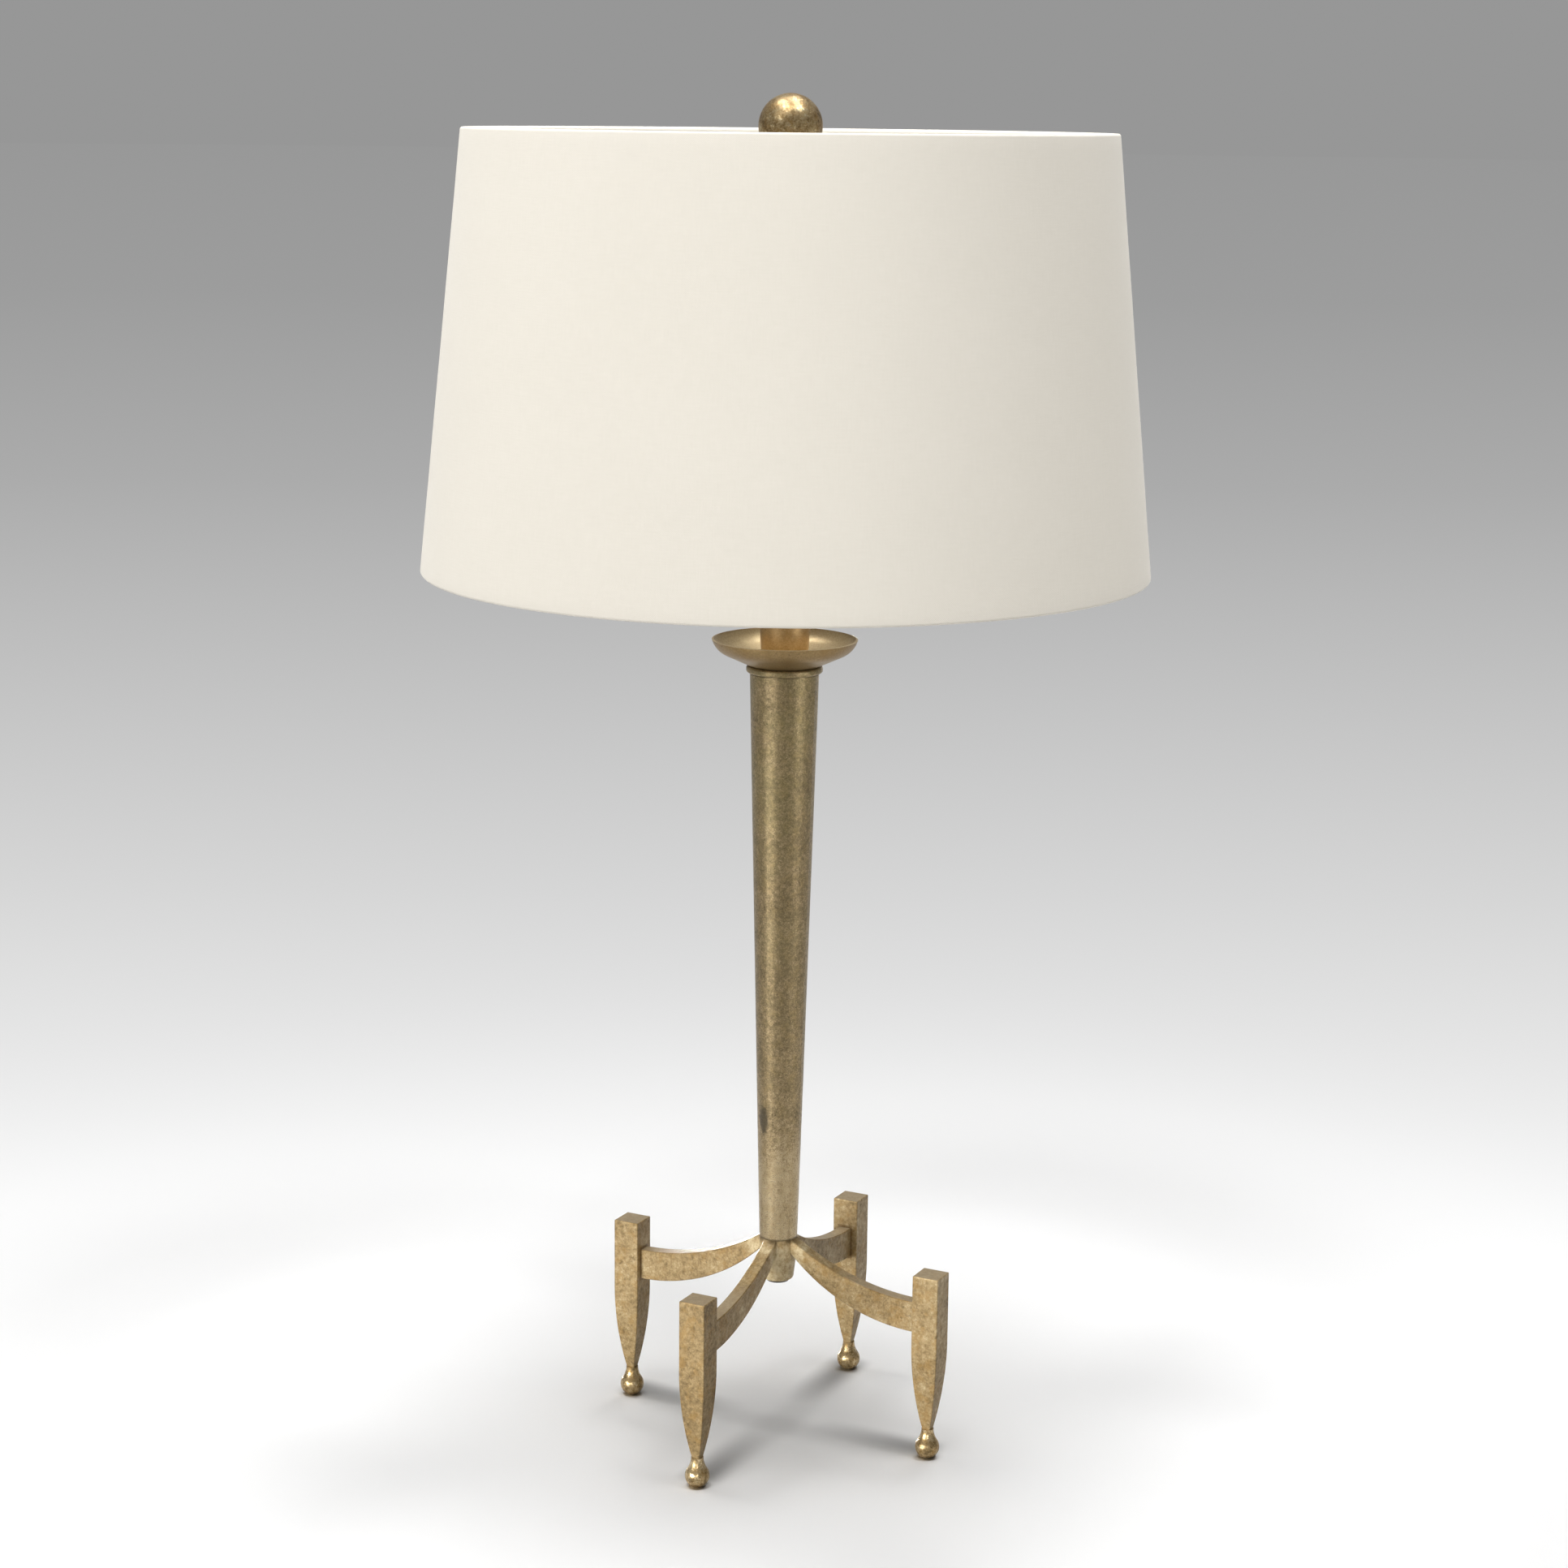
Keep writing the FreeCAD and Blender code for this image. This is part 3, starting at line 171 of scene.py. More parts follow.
# Gilt finishes: sponged leaf over dark size, with broad clouds, fine flecks and dark pinholes
giltLooks = {
    "giltLeaf": {"golds": ("#645236", "#8f7953", "#a48e67", "#c9b893"), "pinhole": "#503e27",
                 "grainPerMetre": 320, "fleckPerMetre": 900, "patchPerMetre": 45, "pinholePerMetre": 420,
                 "grainDepth": 1.25, "fleckDepth": 0.4, "patchDepth": 0.6, "pinholeShare": 0.45,
                 "warm": "#9a7538", "warmShare": 0.35,
                 "rough": 0.42, "roughSpread": 0.25, "metal": 0.15, "bump": 0.4},
    "giltColumn": {"golds": ("#594e38", "#796a4d", "#938060", "#b9a785"), "pinhole": "#403826",
                   "grainPerMetre": 420, "fleckPerMetre": 1300, "patchPerMetre": 70, "pinholePerMetre": 560,
                   "grainDepth": 1.05, "fleckDepth": 0.8, "patchDepth": 0.4, "pinholeShare": 0.5,
                   "warm": "#8a7546", "warmShare": 0.25,
                   "rough": 0.38, "roughSpread": 0.25, "metal": 0.62, "bump": 0.5},
    "giltSaucer": {"golds": ("#645134", "#806b49", "#917a55", "#ab9268"), "pinhole": "#4a3b25",
                   "grainPerMetre": 700, "fleckPerMetre": 1800, "patchPerMetre": 30, "pinholePerMetre": 800,
                   "grainDepth": 0.6, "fleckDepth": 0.4, "patchDepth": 0.4, "pinholeShare": 0.5,
                   "warm": "#7d6034", "warmShare": 0.3,
                   "rough": 0.4, "roughSpread": 0.2, "metal": 0.8, "bump": 0.3},
    "giltBrown": {"golds": ("#7d6546", "#a5895f", "#b99d70", "#cfb68b"), "pinhole": "#4c3c26",
                  "grainPerMetre": 700, "fleckPerMetre": 1800, "patchPerMetre": 34, "pinholePerMetre": 800,
                  "grainDepth": 0.6, "fleckDepth": 0.4, "patchDepth": 0.4, "pinholeShare": 0.5,
                  "warm": "#a07c44", "warmShare": 0.3,
                  "rough": 0.42, "roughSpread": 0.2, "metal": 0.8, "bump": 0.3},
    "giltPolished": {"golds": ("#5a4a32", "#967e58", "#b6a179", "#e0d0ae"), "pinhole": "#3d3220",
                     "grainPerMetre": 260, "fleckPerMetre": 900, "patchPerMetre": 60, "pinholePerMetre": 500,
                     "grainDepth": 1.2, "fleckDepth": 0.7, "patchDepth": 0.8, "pinholeShare": 0.5,
                     "warm": "#a77f40", "warmShare": 0.3,
                     "rough": 0.34, "roughSpread": 0.35, "metal": 0.8, "bump": 0.8},
}
giltLooks["giltFeet"] = {**giltLooks["giltPolished"], "golds": ("#473b28", "#89744f", "#ae9973", "#dccaa6"),
                         "pinhole": "#3a2f1e", "pinholePerMetre": 230, "pinholeShare": 0.65, "rough": 0.32}
gilding = {  # what all the gilt finishes share
    "toneStops": (0.12, 0.42, 0.62, 0.92),  # where the four golds lie along the tone
    "warmEdge": (0.46, 0.66), "warmFiner": 3,
    "pinholeEdge": (0.6, 0.7), "pinholeRough": 0.15, "driftPerMetre": 60, "driftEdge": (0.4, 0.65),
    "spongeRaised": 0.6, "fleckRaised": 0.4, "pinholeSunk": 0.3,
    "depth": 0.0003,  # how far the sponged grain stands up, metres
    "shine": 0.2,
}


def giltFinish(name, lift=None):  # lift makes places paler, along the ramp of golds
    look = giltLooks[name]
    f = newMaterial(name)
    sponge = f.cloud(look["grainPerMetre"], detail=5.0, rough=0.7)
    fleck = f.cloud(look["fleckPerMetre"])
    patch = f.cloud(look["patchPerMetre"], detail=3.0, rough=0.55)
    tone = (0.5 + (sponge - 0.5) * look["grainDepth"] + (fleck - 0.5) * look["fleckDepth"]
            + (patch - 0.5) * look["patchDepth"])
    if lift:
        tone = tone + lift(f)
    gold = f.ramp(tone, list(zip(gilding["toneStops"], map(ink, look["golds"]))))
    warm = f.cloud(look["patchPerMetre"] * gilding["warmFiner"], detail=4.0, rough=0.65)
    gold = f.tint(warm.rise(*gilding["warmEdge"]) * look["warmShare"], gold, ink(look["warm"]))
    drift = f.cloud(gilding["driftPerMetre"]).rise(*gilding["driftEdge"])
    pinhole = f.cloud(look["pinholePerMetre"]).rise(*gilding["pinholeEdge"]) * drift
    gold = f.tint(pinhole * look["pinholeShare"], gold, ink(look["pinhole"]))
    rough = look["rough"] + (0.5 - tone) * look["roughSpread"] + pinhole * gilding["pinholeRough"]
    height = sponge * gilding["spongeRaised"] + fleck * gilding["fleckRaised"]
    height = height - pinhole * gilding["pinholeSunk"]
    return f, gold, rough, f.grain(height, look["bump"], gilding["depth"]), look


def showGilt(f, gold, rough, bump, look):
    return f.show(f.add("BsdfPrincipled", {}, {"Base Color": gold, "Roughness": rough, "Normal": bump,
                                               "Metallic": look["metal"],
                                               "Specular IOR Level": gilding["shine"]}))


# Base: painted shade round the hub with grime specks, hub foot and cap painted paler as painted light, front
# post darkened as painted shade, painted sheen on level tops, dark joint lines at the posts partly painted
# shade, painted shade on the arms' upper edges
grimeAndShade = {
    # painted shade in the crevice round the hub, under the column, broken by grime specks
    "colour": "#3f3019", "share": 0.8, "ring": (0.0185, 0.0225), "ringWander": 0.006, "wanderPerMetre": 240,
    "hubFrom": (0.1228, 0.1262), "specksPerMetre": 160, "speckEdge": (0.35, 0.6),
    "paintedCapLight": 0.3, "capTo": (0.121, 0.126),  # the hub's foot and the cap under it are painted paler, as painted light, up to this height
    "frontPostShade": 0.12, "frontFrom": (-0.096, -0.09),  # the front post is darkened: painted shade
    # a pale tint on level tops: painted sheen
    "topSheen": "#9f917a", "topSheenShare": 0.6, "level": (0.93, 0.985),
    # a dark line where each arm meets its post: a dark joint, partly painted shade in the crease
    "seam": "#5e4220", "seamShare": 0.6, "seamAt": 0.0962, "seamHalf": (0.0003, 0.0012),
    "seamFrom": (0.0795, 0.0805), "seamTo": (0.1018, 0.1028), "besideArm": (0.0047, 0.0057),
    # painted shade along the arms' upper edges, on faces tilted partly up
    "edgeShare": 0.3, "armEdge": (0.0034, 0.004), "edgeUpward": (0.2, 0.4), "edgeFrom": (0.018, 0.022),
    "edgeTo": (0.0956, 0.0962),
}


def leafPaintedLightAndShade(f):
    x, y, z = f.axes()
    # painted light: the hub's foot and the cap under it are made paler
    paintedCapLight = (1 - fromAxis(x, y).rise(*grimeAndShade["ring"])) * (1 - z.rise(*grimeAndShade["capTo"])) * grimeAndShade["paintedCapLight"]
    # painted shade: the front post is made darker
    return paintedCapLight - (1 - y.rise(*grimeAndShade["frontFrom"])) * grimeAndShade["frontPostShade"]


def leafFinish():
    f, gold, rough, bump, look = giltFinish("giltLeaf", leafPaintedLightAndShade)
    x, y, z = f.axes()
    upward = f.upward()
    reach = fromAxis(x, y) + (f.cloud(grimeAndShade["wanderPerMetre"]) - 0.5) * grimeAndShade["ringWander"]
    # painted shade in the crevice round the hub, under the column, broken by grime specks
    hubShade = (1 - reach.rise(*grimeAndShade["ring"])) * z.rise(*grimeAndShade["hubFrom"]) * grimeAndShade["share"]
    specks = f.cloud(grimeAndShade["specksPerMetre"], detail=3.0).rise(*grimeAndShade["speckEdge"])
    gold = f.tint(hubShade * specks, gold, ink(grimeAndShade["colour"]))
    # painted sheen: level tops are tinted pale
    gold = f.tint(upward.rise(*grimeAndShade["level"]) * grimeAndShade["topSheenShare"], gold, ink(grimeAndShade["topSheen"]))
    far, near = onCross(x, y)
    # a dark joint line where each arm meets its post, partly painted shade in the crease
    seam = 1 - (far - grimeAndShade["seamAt"]).size().rise(*grimeAndShade["seamHalf"])
    seam = seam * (1 - near.rise(*grimeAndShade["besideArm"])) * grimeAndShade["seamShare"]
    seam = seam * z.rise(*grimeAndShade["seamFrom"]) * (1 - z.rise(*grimeAndShade["seamTo"]))
    # painted shade along the arms' upper edges, on faces tilted partly up
    edgeShade = near.rise(*grimeAndShade["armEdge"]) * upward.rise(*grimeAndShade["edgeUpward"]) * far.rise(*grimeAndShade["edgeFrom"])
    edgeShade = edgeShade * (1 - far.rise(*grimeAndShade["edgeTo"])) * grimeAndShade["edgeShare"]
    gold = f.tint(seam.most(edgeShade), gold, ink(grimeAndShade["seam"]))
    return showGilt(f, gold, rough, bump, look)


# Column: olive leaf, painted paler at its foot as painted light, greener near its head, with one dark mark and a
# painted shadow line at its foot
columnWearLightAndShade = {
    # the column is made paler towards its foot: painted light
    "pale": 0.3, "paleTo": (0.15, 0.23), "paleWander": 0.06, "wanderPerMetre": 60,
    "green": "#7c7a4c", "greenShare": 0.15, "greenFrom": (0.2, 0.46), "greenPerMetre": 38,
    "greenEdge": (0.35, 0.65),
    "mark": "#4a4336", "markShare": 0.8, "markAt": (-0.0044, -0.0126, 0.2045), "markTall": 0.0105,
    "markWide": 0.0048, "markEdge": (0.55, 1.05), "markRagged": 0.7, "raggedPerMetre": 330,
    # a painted shadow line at the column's foot, where it meets the hub
    "footShadowShare": 0.75, "footShadowTo": (0.1266, 0.128),
}


# painted light: the column made paler towards its foot
def columnPaintedLight(f):
    height = f.axes()[2] + (f.cloud(columnWearLightAndShade["wanderPerMetre"]) - 0.5) * columnWearLightAndShade["paleWander"]
    return (1 - height.rise(*columnWearLightAndShade["paleTo"])) * columnWearLightAndShade["pale"]


def columnFinish():
    f, gold, rough, bump, look = giltFinish("giltColumn", columnPaintedLight)
    x, y, z = f.axes()
    patches = f.cloud(columnWearLightAndShade["greenPerMetre"]).rise(*columnWearLightAndShade["greenEdge"])
    green = z.rise(*columnWearLightAndShade["greenFrom"]) * patches * columnWearLightAndShade["greenShare"]
    gold = f.tint(green, gold, ink(columnWearLightAndShade["green"]))
    markX, markY, markZ = columnWearLightAndShade["markAt"]
    across = ((x - markX) ** 2 + (y - markY) ** 2) / columnWearLightAndShade["markWide"] ** 2
    ragged = (f.cloud(columnWearLightAndShade["raggedPerMetre"]) - 0.5) * columnWearLightAndShade["markRagged"]
    off = (across + ((z - markZ) / columnWearLightAndShade["markTall"]) ** 2) ** 0.5 + ragged
    mark = (1 - off.rise(*columnWearLightAndShade["markEdge"])) * columnWearLightAndShade["markShare"]
    gold = f.tint(mark, gold, ink(columnWearLightAndShade["mark"]))
    # painted shadow: a dark line at the column's foot, where it meets the hub
    gold = f.tint((1 - z.rise(*columnWearLightAndShade["footShadowTo"])) * columnWearLightAndShade["footShadowShare"], gold, ink(grimeAndShade["colour"]))
    return showGilt(f, gold, rough, bump, look)


# Saucer: brown bronze, darker below as painted shade, with a paler sparkling leaf where it faces up as painted
# light
saucerTopLight = {"colour": "#a89878", "share": 0.8, "facing": (0.15, 0.4), "plain": 0.55,
                "sparklePerMetre": 900, "sparkleEdge": (0.35, 0.62)}


def saucerFinish():
    f, gold, rough, bump, look = giltFinish("giltSaucer")
    # painted light: the faces that look up are made paler
    facingUpLight = f.upward().rise(*saucerTopLight["facing"]) * saucerTopLight["share"]
    sparkle = f.cloud(saucerTopLight["sparklePerMetre"]).rise(*saucerTopLight["sparkleEdge"])
    sparkle = saucerTopLight["plain"] + sparkle * (1 - saucerTopLight["plain"])
    gold = f.tint(facingUpLight * sparkle, gold, ink(saucerTopLight["colour"]))
    return showGilt(f, gold, rough, bump, look)


# Other metals: brass of the fittings, steel, the bulb's cap
metalLooks = {
    "oldBrass": {"dark": "#7d5c2a", "light": "#c9a45c", "stain": "#5b4524", "rough": 0.3, "metal": 0.95},
    "greySteel": {"dark": "#6d6d6b", "light": "#b9b9b6", "stain": "#55514b", "rough": 0.36, "metal": 0.95},
    "capMetal": {"dark": "#8b8a86", "light": "#d2d1cc", "stain": "#6e6a62", "rough": 0.3, "metal": 0.95},
}
metalWear = {"wearPerMetre": 70, "scratchPerMetre": 260, "scratchRun": (1.0, 1.0, 9.0), "scratchShare": 0.3,
             "scratchRough": 0.25, "scratchBump": 0.2, "scratchDepth": 0.0001,
             "stainPerMetre": 110, "stainEdge": (0.56, 0.72), "stainShare": 0.55, "stainRough": 0.2}


def metalFinish(name):
    look = metalLooks[name]
    f = newMaterial(name)
    wear = f.cloud(metalWear["wearPerMetre"], detail=4.0, rough=0.6)
    scratch = f.cloud(metalWear["scratchPerMetre"], detail=3.0, rough=0.6, stretch=metalWear["scratchRun"])
    tone = wear * (1 - metalWear["scratchShare"]) + scratch * metalWear["scratchShare"]
    colour = f.tint(tone, ink(look["dark"]), ink(look["light"]))
    stain = f.cloud(metalWear["stainPerMetre"], detail=3.0, rough=0.6).rise(*metalWear["stainEdge"])
    colour = f.tint(stain * metalWear["stainShare"], colour, ink(look["stain"]))
    rough = look["rough"] + stain * metalWear["stainRough"] + (scratch - 0.5) * metalWear["scratchRough"]
    bump = f.grain(scratch, metalWear["scratchBump"], metalWear["scratchDepth"])
    return f.show(f.add("BsdfPrincipled", {}, {"Base Color": colour, "Roughness": rough, "Normal": bump,
                                               "Metallic": look["metal"]}))


# Plastics, card, glass and the lining
plainLooks = {
    "blackMoulding": {"dark": "#141312", "light": "#2c2a28", "grainPerMetre": 900, "rough": 0.38, "bump": 0.2,
                      "depth": 0.0001},
    "cardSleeve": {"dark": "#a98f66", "light": "#cdb68c", "grainPerMetre": 420, "rough": 0.85, "bump": 0.4,
                   "depth": 0.0002},
    "satinGlass": {"dark": "#d6d3ca", "light": "#e4e1d9", "grainPerMetre": 60, "rough": 0.3, "bump": 0.05,
                   "depth": 0.0001},
    "shadeLining": {"dark": "#efece4", "light": "#f8f6f0", "grainPerMetre": 500, "rough": 0.6, "bump": 0.15,
                    "depth": 0.0001},
}
plainWear = {"broader": 14, "broadShare": 0.4, "roughSpread": 0.2}


def plainFinish(name):
    look = plainLooks[name]
    f = newMaterial(name)
    fine = f.cloud(look["grainPerMetre"], detail=3.0, rough=0.6)
    broad = f.cloud(look["grainPerMetre"] / plainWear["broader"])
    tone = fine * (1 - plainWear["broadShare"]) + broad * plainWear["broadShare"]
    colour = f.tint(tone, ink(look["dark"]), ink(look["light"]))
    rough = look["rough"] + (fine - 0.5) * plainWear["roughSpread"]
    bump = f.grain(fine, look["bump"], look["depth"])
    return f.show(f.add("BsdfPrincipled", {}, {"Base Color": colour, "Roughness": rough, "Normal": bump}))


leafMaterial = leafFinish()
finishes = {
    leafMaterial: ["post_right", "post_back", "post_left", "post_front", "arm_right", "arm_back", "arm_left",
                   "arm_front", "hub", "hub_cap"],
    columnFinish(): ["column", "collar"],
    saucerFinish(): ["saucer"],
    showGilt(*giltFinish("giltBrown")): ["candle_cup", "cup_lid"],
    showGilt(*giltFinish("giltFeet")): ["ball_foot_right", "ball_foot_back", "ball_foot_left",
                                        "ball_foot_front"],
    showGilt(*giltFinish("giltPolished")): ["finial_ball"],
    metalFinish("oldBrass"): ["harp_saddle", "harp_wire", "harp_ferrule_right", "harp_ferrule_left",
                              "harp_seat", "fitter_washer", "fitter_spoke_1", "fitter_spoke_2",
                              "fitter_spoke_3", "socket_cap", "socket_shell", "screw_shell",
                              "centre_contact", "terminal_screws", "switch_shaft", "finial_bush"],
    metalFinish("greySteel"): ["lamp_pipe", "hub_nut", "hub_washer", "shade_top_ring", "shade_bottom_ring"],
    metalFinish("capMetal"): ["bulb_cap", "bulb_tip"],
    plainFinish("blackMoulding"): ["switch_core", "switch_key", "lead_bushing", "bulb_insulator"],
    plainFinish("cardSleeve"): ["socket_liner"],
    plainFinish("satinGlass"): ["bulb_glass"],
    plainFinish("shadeLining"): ["shade_liner"],
}
for material, names in finishes.items():
    for name in names:
        nodes[name].material_slots[0].material = material
print("finishes on CAD nodes:", sum(len(names) for names in finishes.values()))


# Linen of the shade: a plain weave of slubby threads, on a UV map in metres
linen = {"dark": "#ece6d9", "light": "#f3ede1",
         "threadsPerMetre": 1900, "weaveShare": 0.08, "weaveRaised": 0.5,
         "slubsAcross": 1300.0, "slubsAlong": 90.0, "slubShare": 0.5, "slubRaised": 0.6,
         "broadPerMetre": 9.0, "broadShare": 0.4,
         "rough": 0.9, "bump": 0.22, "depth": 0.0002, "shine": 0.2, "sheen": 0.15}


def linenFinish():
    f = newMaterial("ivoryLinen")
    sheet = f.add("UVMap", {"uv_map": "cloth"})
    thick, long = linen["slubsAcross"], linen["slubsAlong"]
    warp = f.cloud(1.0, stretch=(thick, long, 1.0), where=sheet)
    weft = f.cloud(1.0, stretch=(long, thick, 1.0), where=sheet)
    broad = f.cloud(linen["broadPerMetre"], where=sheet)
    across, along = f.axes(sheet)[:2]
    turn = math.pi * linen["threadsPerMetre"]
    weave = (across * turn).sine() * (along * turn).sine()
    tone = (0.5 + (warp - 0.5) * linen["slubShare"] + (weft - 0.5) * linen["slubShare"]
            + (broad - 0.5) * linen["broadShare"] + weave * linen["weaveShare"])
    colour = f.tint(tone.rise(0.0, 1.0), ink(linen["dark"]), ink(linen["light"]))
    height = weave * linen["weaveRaised"] + warp * linen["slubRaised"] + weft * linen["slubRaised"]
    bump = f.grain(height, linen["bump"], linen["depth"])
    return f.show(f.add("BsdfPrincipled", {}, {"Base Color": colour, "Normal": bump, "Roughness": linen["rough"],
                                               "Specular IOR Level": linen["shine"],
                                               "Sheen Weight": linen["sheen"]}))


def gridPiece(name, points, flat, material):  # points[row, column] joined to their neighbours as quads
    rows, columns = points.shape[:2]
    index = np.arange(rows * columns).reshape(rows, columns)
    corners = [index[:-1, :-1], index[:-1, 1:], index[1:, 1:], index[1:, :-1]]
    quads = np.stack(corners, axis=-1).reshape(-1, 4)
    mesh = bpy.data.meshes.new(name)
    mesh.from_pydata(points.reshape(-1, 3), [], quads.tolist())
    layer = mesh.uv_layers.new(name="cloth")
    layer.data.foreach_set("uv", flat.reshape(-1, 2)[quads.ravel()].ravel().astype(np.float32))
    mesh.polygons.foreach_set("use_smooth", np.ones(len(quads), dtype=bool))
    mesh.materials.append(material)
    piece = bpy.data.objects.new(name, mesh)
    bpy.context.scene.collection.objects.link(piece)
    return piece


# Shade cover: one cloth over the stiff lining, rolled over both wire rims and turned in behind them
cover = {
    "top": 0.802, "bottom": 0.545, "topRadius": 0.1905, "bottomRadius": 0.2165,
    "lip": 0.00105, "topLipPoints": 8, "bottomLipPoints": 9,  # outer corner of each rim
    "topRing": (0.18777, 0.79975), "bottomRing": (0.21331, 0.54725), "ringRoll": 0.00207, "rollPoints": 9,
    "turnIn": 0.0070, "turnInRows": 5, "wallRows": 40, "cloth": 0.0004,
    "seamAngle": 116.85, "overlap": 0.012, "seamRise": 0.00045, "seamEase": 0.004,
    "spokeAngles": (0.0, 120.0, 240.0), "slitHalf": 0.0023, "slitEase": 0.0024, "slitFrom": 0.0061,
    "slitTo": 0.0090,
    "around": 420, "slitColumns": 25, "slitMargin": 1.2, "lapColumns": 36, "lapMargin": 1.6,
    "uneven": 0.00007, "wavesRound": (5, 11), "wavesUp": (31, 47), "waveStart": (1.3, 0.4),
    "cut": (1.356, 0.372),
}
fullTurn = 2 * math.pi


def arc(centre, radius, start, end, count):  # points of a circle between two angles in degrees
    turn = np.radians(np.linspace(start, end, count))
    return np.stack([centre[0] + radius * np.cos(turn), centre[1] + radius * np.sin(turn)], axis=1)


def ease(share):  # 0 to 1, level at both ends
    return share * share * (3 - 2 * share)


def coverProfile():  # radius and height along the cloth, from its upper turned-in edge to its lower one
    taper = (cover["bottomRadius"] - cover["topRadius"]) / (cover["top"] - cover["bottom"])
    lean = math.degrees(math.atan(taper))
    lip = cover["lip"]

    def corner(height):  # middle of the rounded outer corner
        wall = cover["topRadius"] + (cover["top"] - height) * taper
        return wall - lip / math.cos(math.radians(lean)), height

    topRing, bottomRing, roll = cover["topRing"], cover["bottomRing"], cover["ringRoll"]
    return np.concatenate([
        [(topRing[0] - roll, cover["top"] - cover["turnIn"])],
        arc(topRing, roll, 180, 95, cover["rollPoints"]),
        arc(corner(cover["top"] - lip), lip, 88, lean, cover["topLipPoints"]),
        arc(corner(cover["bottom"] + lip), lip, lean, -88, cover["bottomLipPoints"]),
        arc(bottomRing, roll, -95, -180, cover["rollPoints"]),
        [(bottomRing[0] - roll, cover["bottom"] + cover["turnIn"])],
    ])


def coverColumns(extra):  # angles all round and on by the lap, closer together at the spokes and the lap
    seam = math.radians(cover["seamAngle"])
    spoke = np.radians(cover["spokeAngles"])[:, None]
    span = (cover["slitHalf"] + cover["slitEase"]) * cover["slitMargin"] / cover["topRadius"]
    bySpoke = (spoke - seam) % fullTurn + np.linspace(-span, span, cover["slitColumns"])
    atLap = fullTurn + extra - np.linspace(0, cover["lapMargin"] * extra, cover["lapColumns"])
    evenly = np.linspace(0, fullTurn + extra, cover["around"])
    turn = seam + np.unique(np.concatenate([evenly, bySpoke.ravel(), atLap]))
    away = np.abs((turn[None, :] - spoke + math.pi) % fullTurn - math.pi).min(axis=0) * cover["topRadius"]
    return turn, away


def makeCover():  # the profile turned round the lamp's axis: rows run along the cloth, columns are angles
    line = coverProfile()
    run = np.concatenate([[0], np.cumsum(np.hypot(*np.diff(line, axis=0).T))])
    wallAt = cover["rollPoints"] + cover["topLipPoints"]  # the straight wall between the two lips
    rows = np.unique(np.concatenate([run, np.linspace(0, run[1], cover["turnInRows"]),
                                     np.linspace(run[wallAt], run[wallAt + 1], cover["wallRows"]),
                                     np.linspace(run[-2], run[-1], cover["turnInRows"])]))[:, None]
    middle = (cover["topRadius"] + cover["bottomRadius"]) / 2
    extra = cover["overlap"] / middle
    turn, away = coverColumns(extra)
    # within slitTo of its upper edge the cloth is drawn back towards the rim where a spoke passes
    slit = ease(np.clip((cover["slitHalf"] + cover["slitEase"] - away) / cover["slitEase"], 0, 1))
    drawn = 1 - slit[None, :] * cover["slitFrom"] / cover["slitTo"]
    reach = np.where(rows < cover["slitTo"], cover["slitTo"] - (cover["slitTo"] - rows) * drawn, rows)

    def along(way):  # radius and height at a length along the cloth
        return np.stack([np.interp(way, run, line[:, 0]), np.interp(way, run, line[:, 1])])

    radius, height = along(reach)
    step = 1e-5
    slope = along(reach + step) - along(reach - step)
    slope /= np.linalg.norm(slope, axis=0) + 1e-12
    # the end laps over the start by one cloth, and the hand-laid cloth is never quite even
    lap = np.clip(((turn - turn[-1]) * middle + cover["overlap"]) / cover["seamEase"] + 1, 0, 1)
    lift = cover["seamRise"] * ease(lap)
    (fewRound, manyRound), (fewUp, manyUp) = cover["wavesRound"], cover["wavesUp"]
    startRound, startUp = cover["waveStart"]
    wave = cover["uneven"] * (np.sin(turn * fewRound + startRound)
                              + np.sin(turn * manyRound + height * fewUp) * np.sin(height * manyUp + startUp))
    radius = radius - slope[1] * lift[None, :] + wave
    height = height + slope[0] * lift[None, :]
    points = np.stack([radius * np.cos(turn), radius * np.sin(turn), height], axis=-1)
    flat = np.stack([np.broadcast_to(turn * middle, reach.shape), reach], axis=-1)
    piece = gridPiece("shade_cover", points, flat, linenFinish())
    thick = piece.modifiers.new("clothThickness", "SOLIDIFY")
    thick.thickness = cover["cloth"]
    thick.offset = -1.0
    area = float(np.sum((line[1:, 0] + line[:-1, 0]) / 2 * np.diff(run)) * (fullTurn + extra))
    return piece, area


shadeCover, coverArea = makeCover()
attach(shadeCover, "shade")
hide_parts("shade_fabric", "hem_top", "hem_bottom")
print("shade cover laid, square metres:", round(coverArea, 4))


# Camera: the photograph's place, tilt and lens
eye = {"away": 1.8866, "height": 0.81565, "azimuth": 26.85, "tilt": 12.011, "roll": 0.642, "yaw": -0.013,
       "focal": 3923.0, "imageSide": 1932.0, "sensor": 36.0}  # focal length and image side in pixels


def aroundLamp(azimuth, away, height):  # a place round the lamp, counted from the front to its right
    return Vector((math.sin(azimuth) * away, -math.cos(azimuth) * away, height))


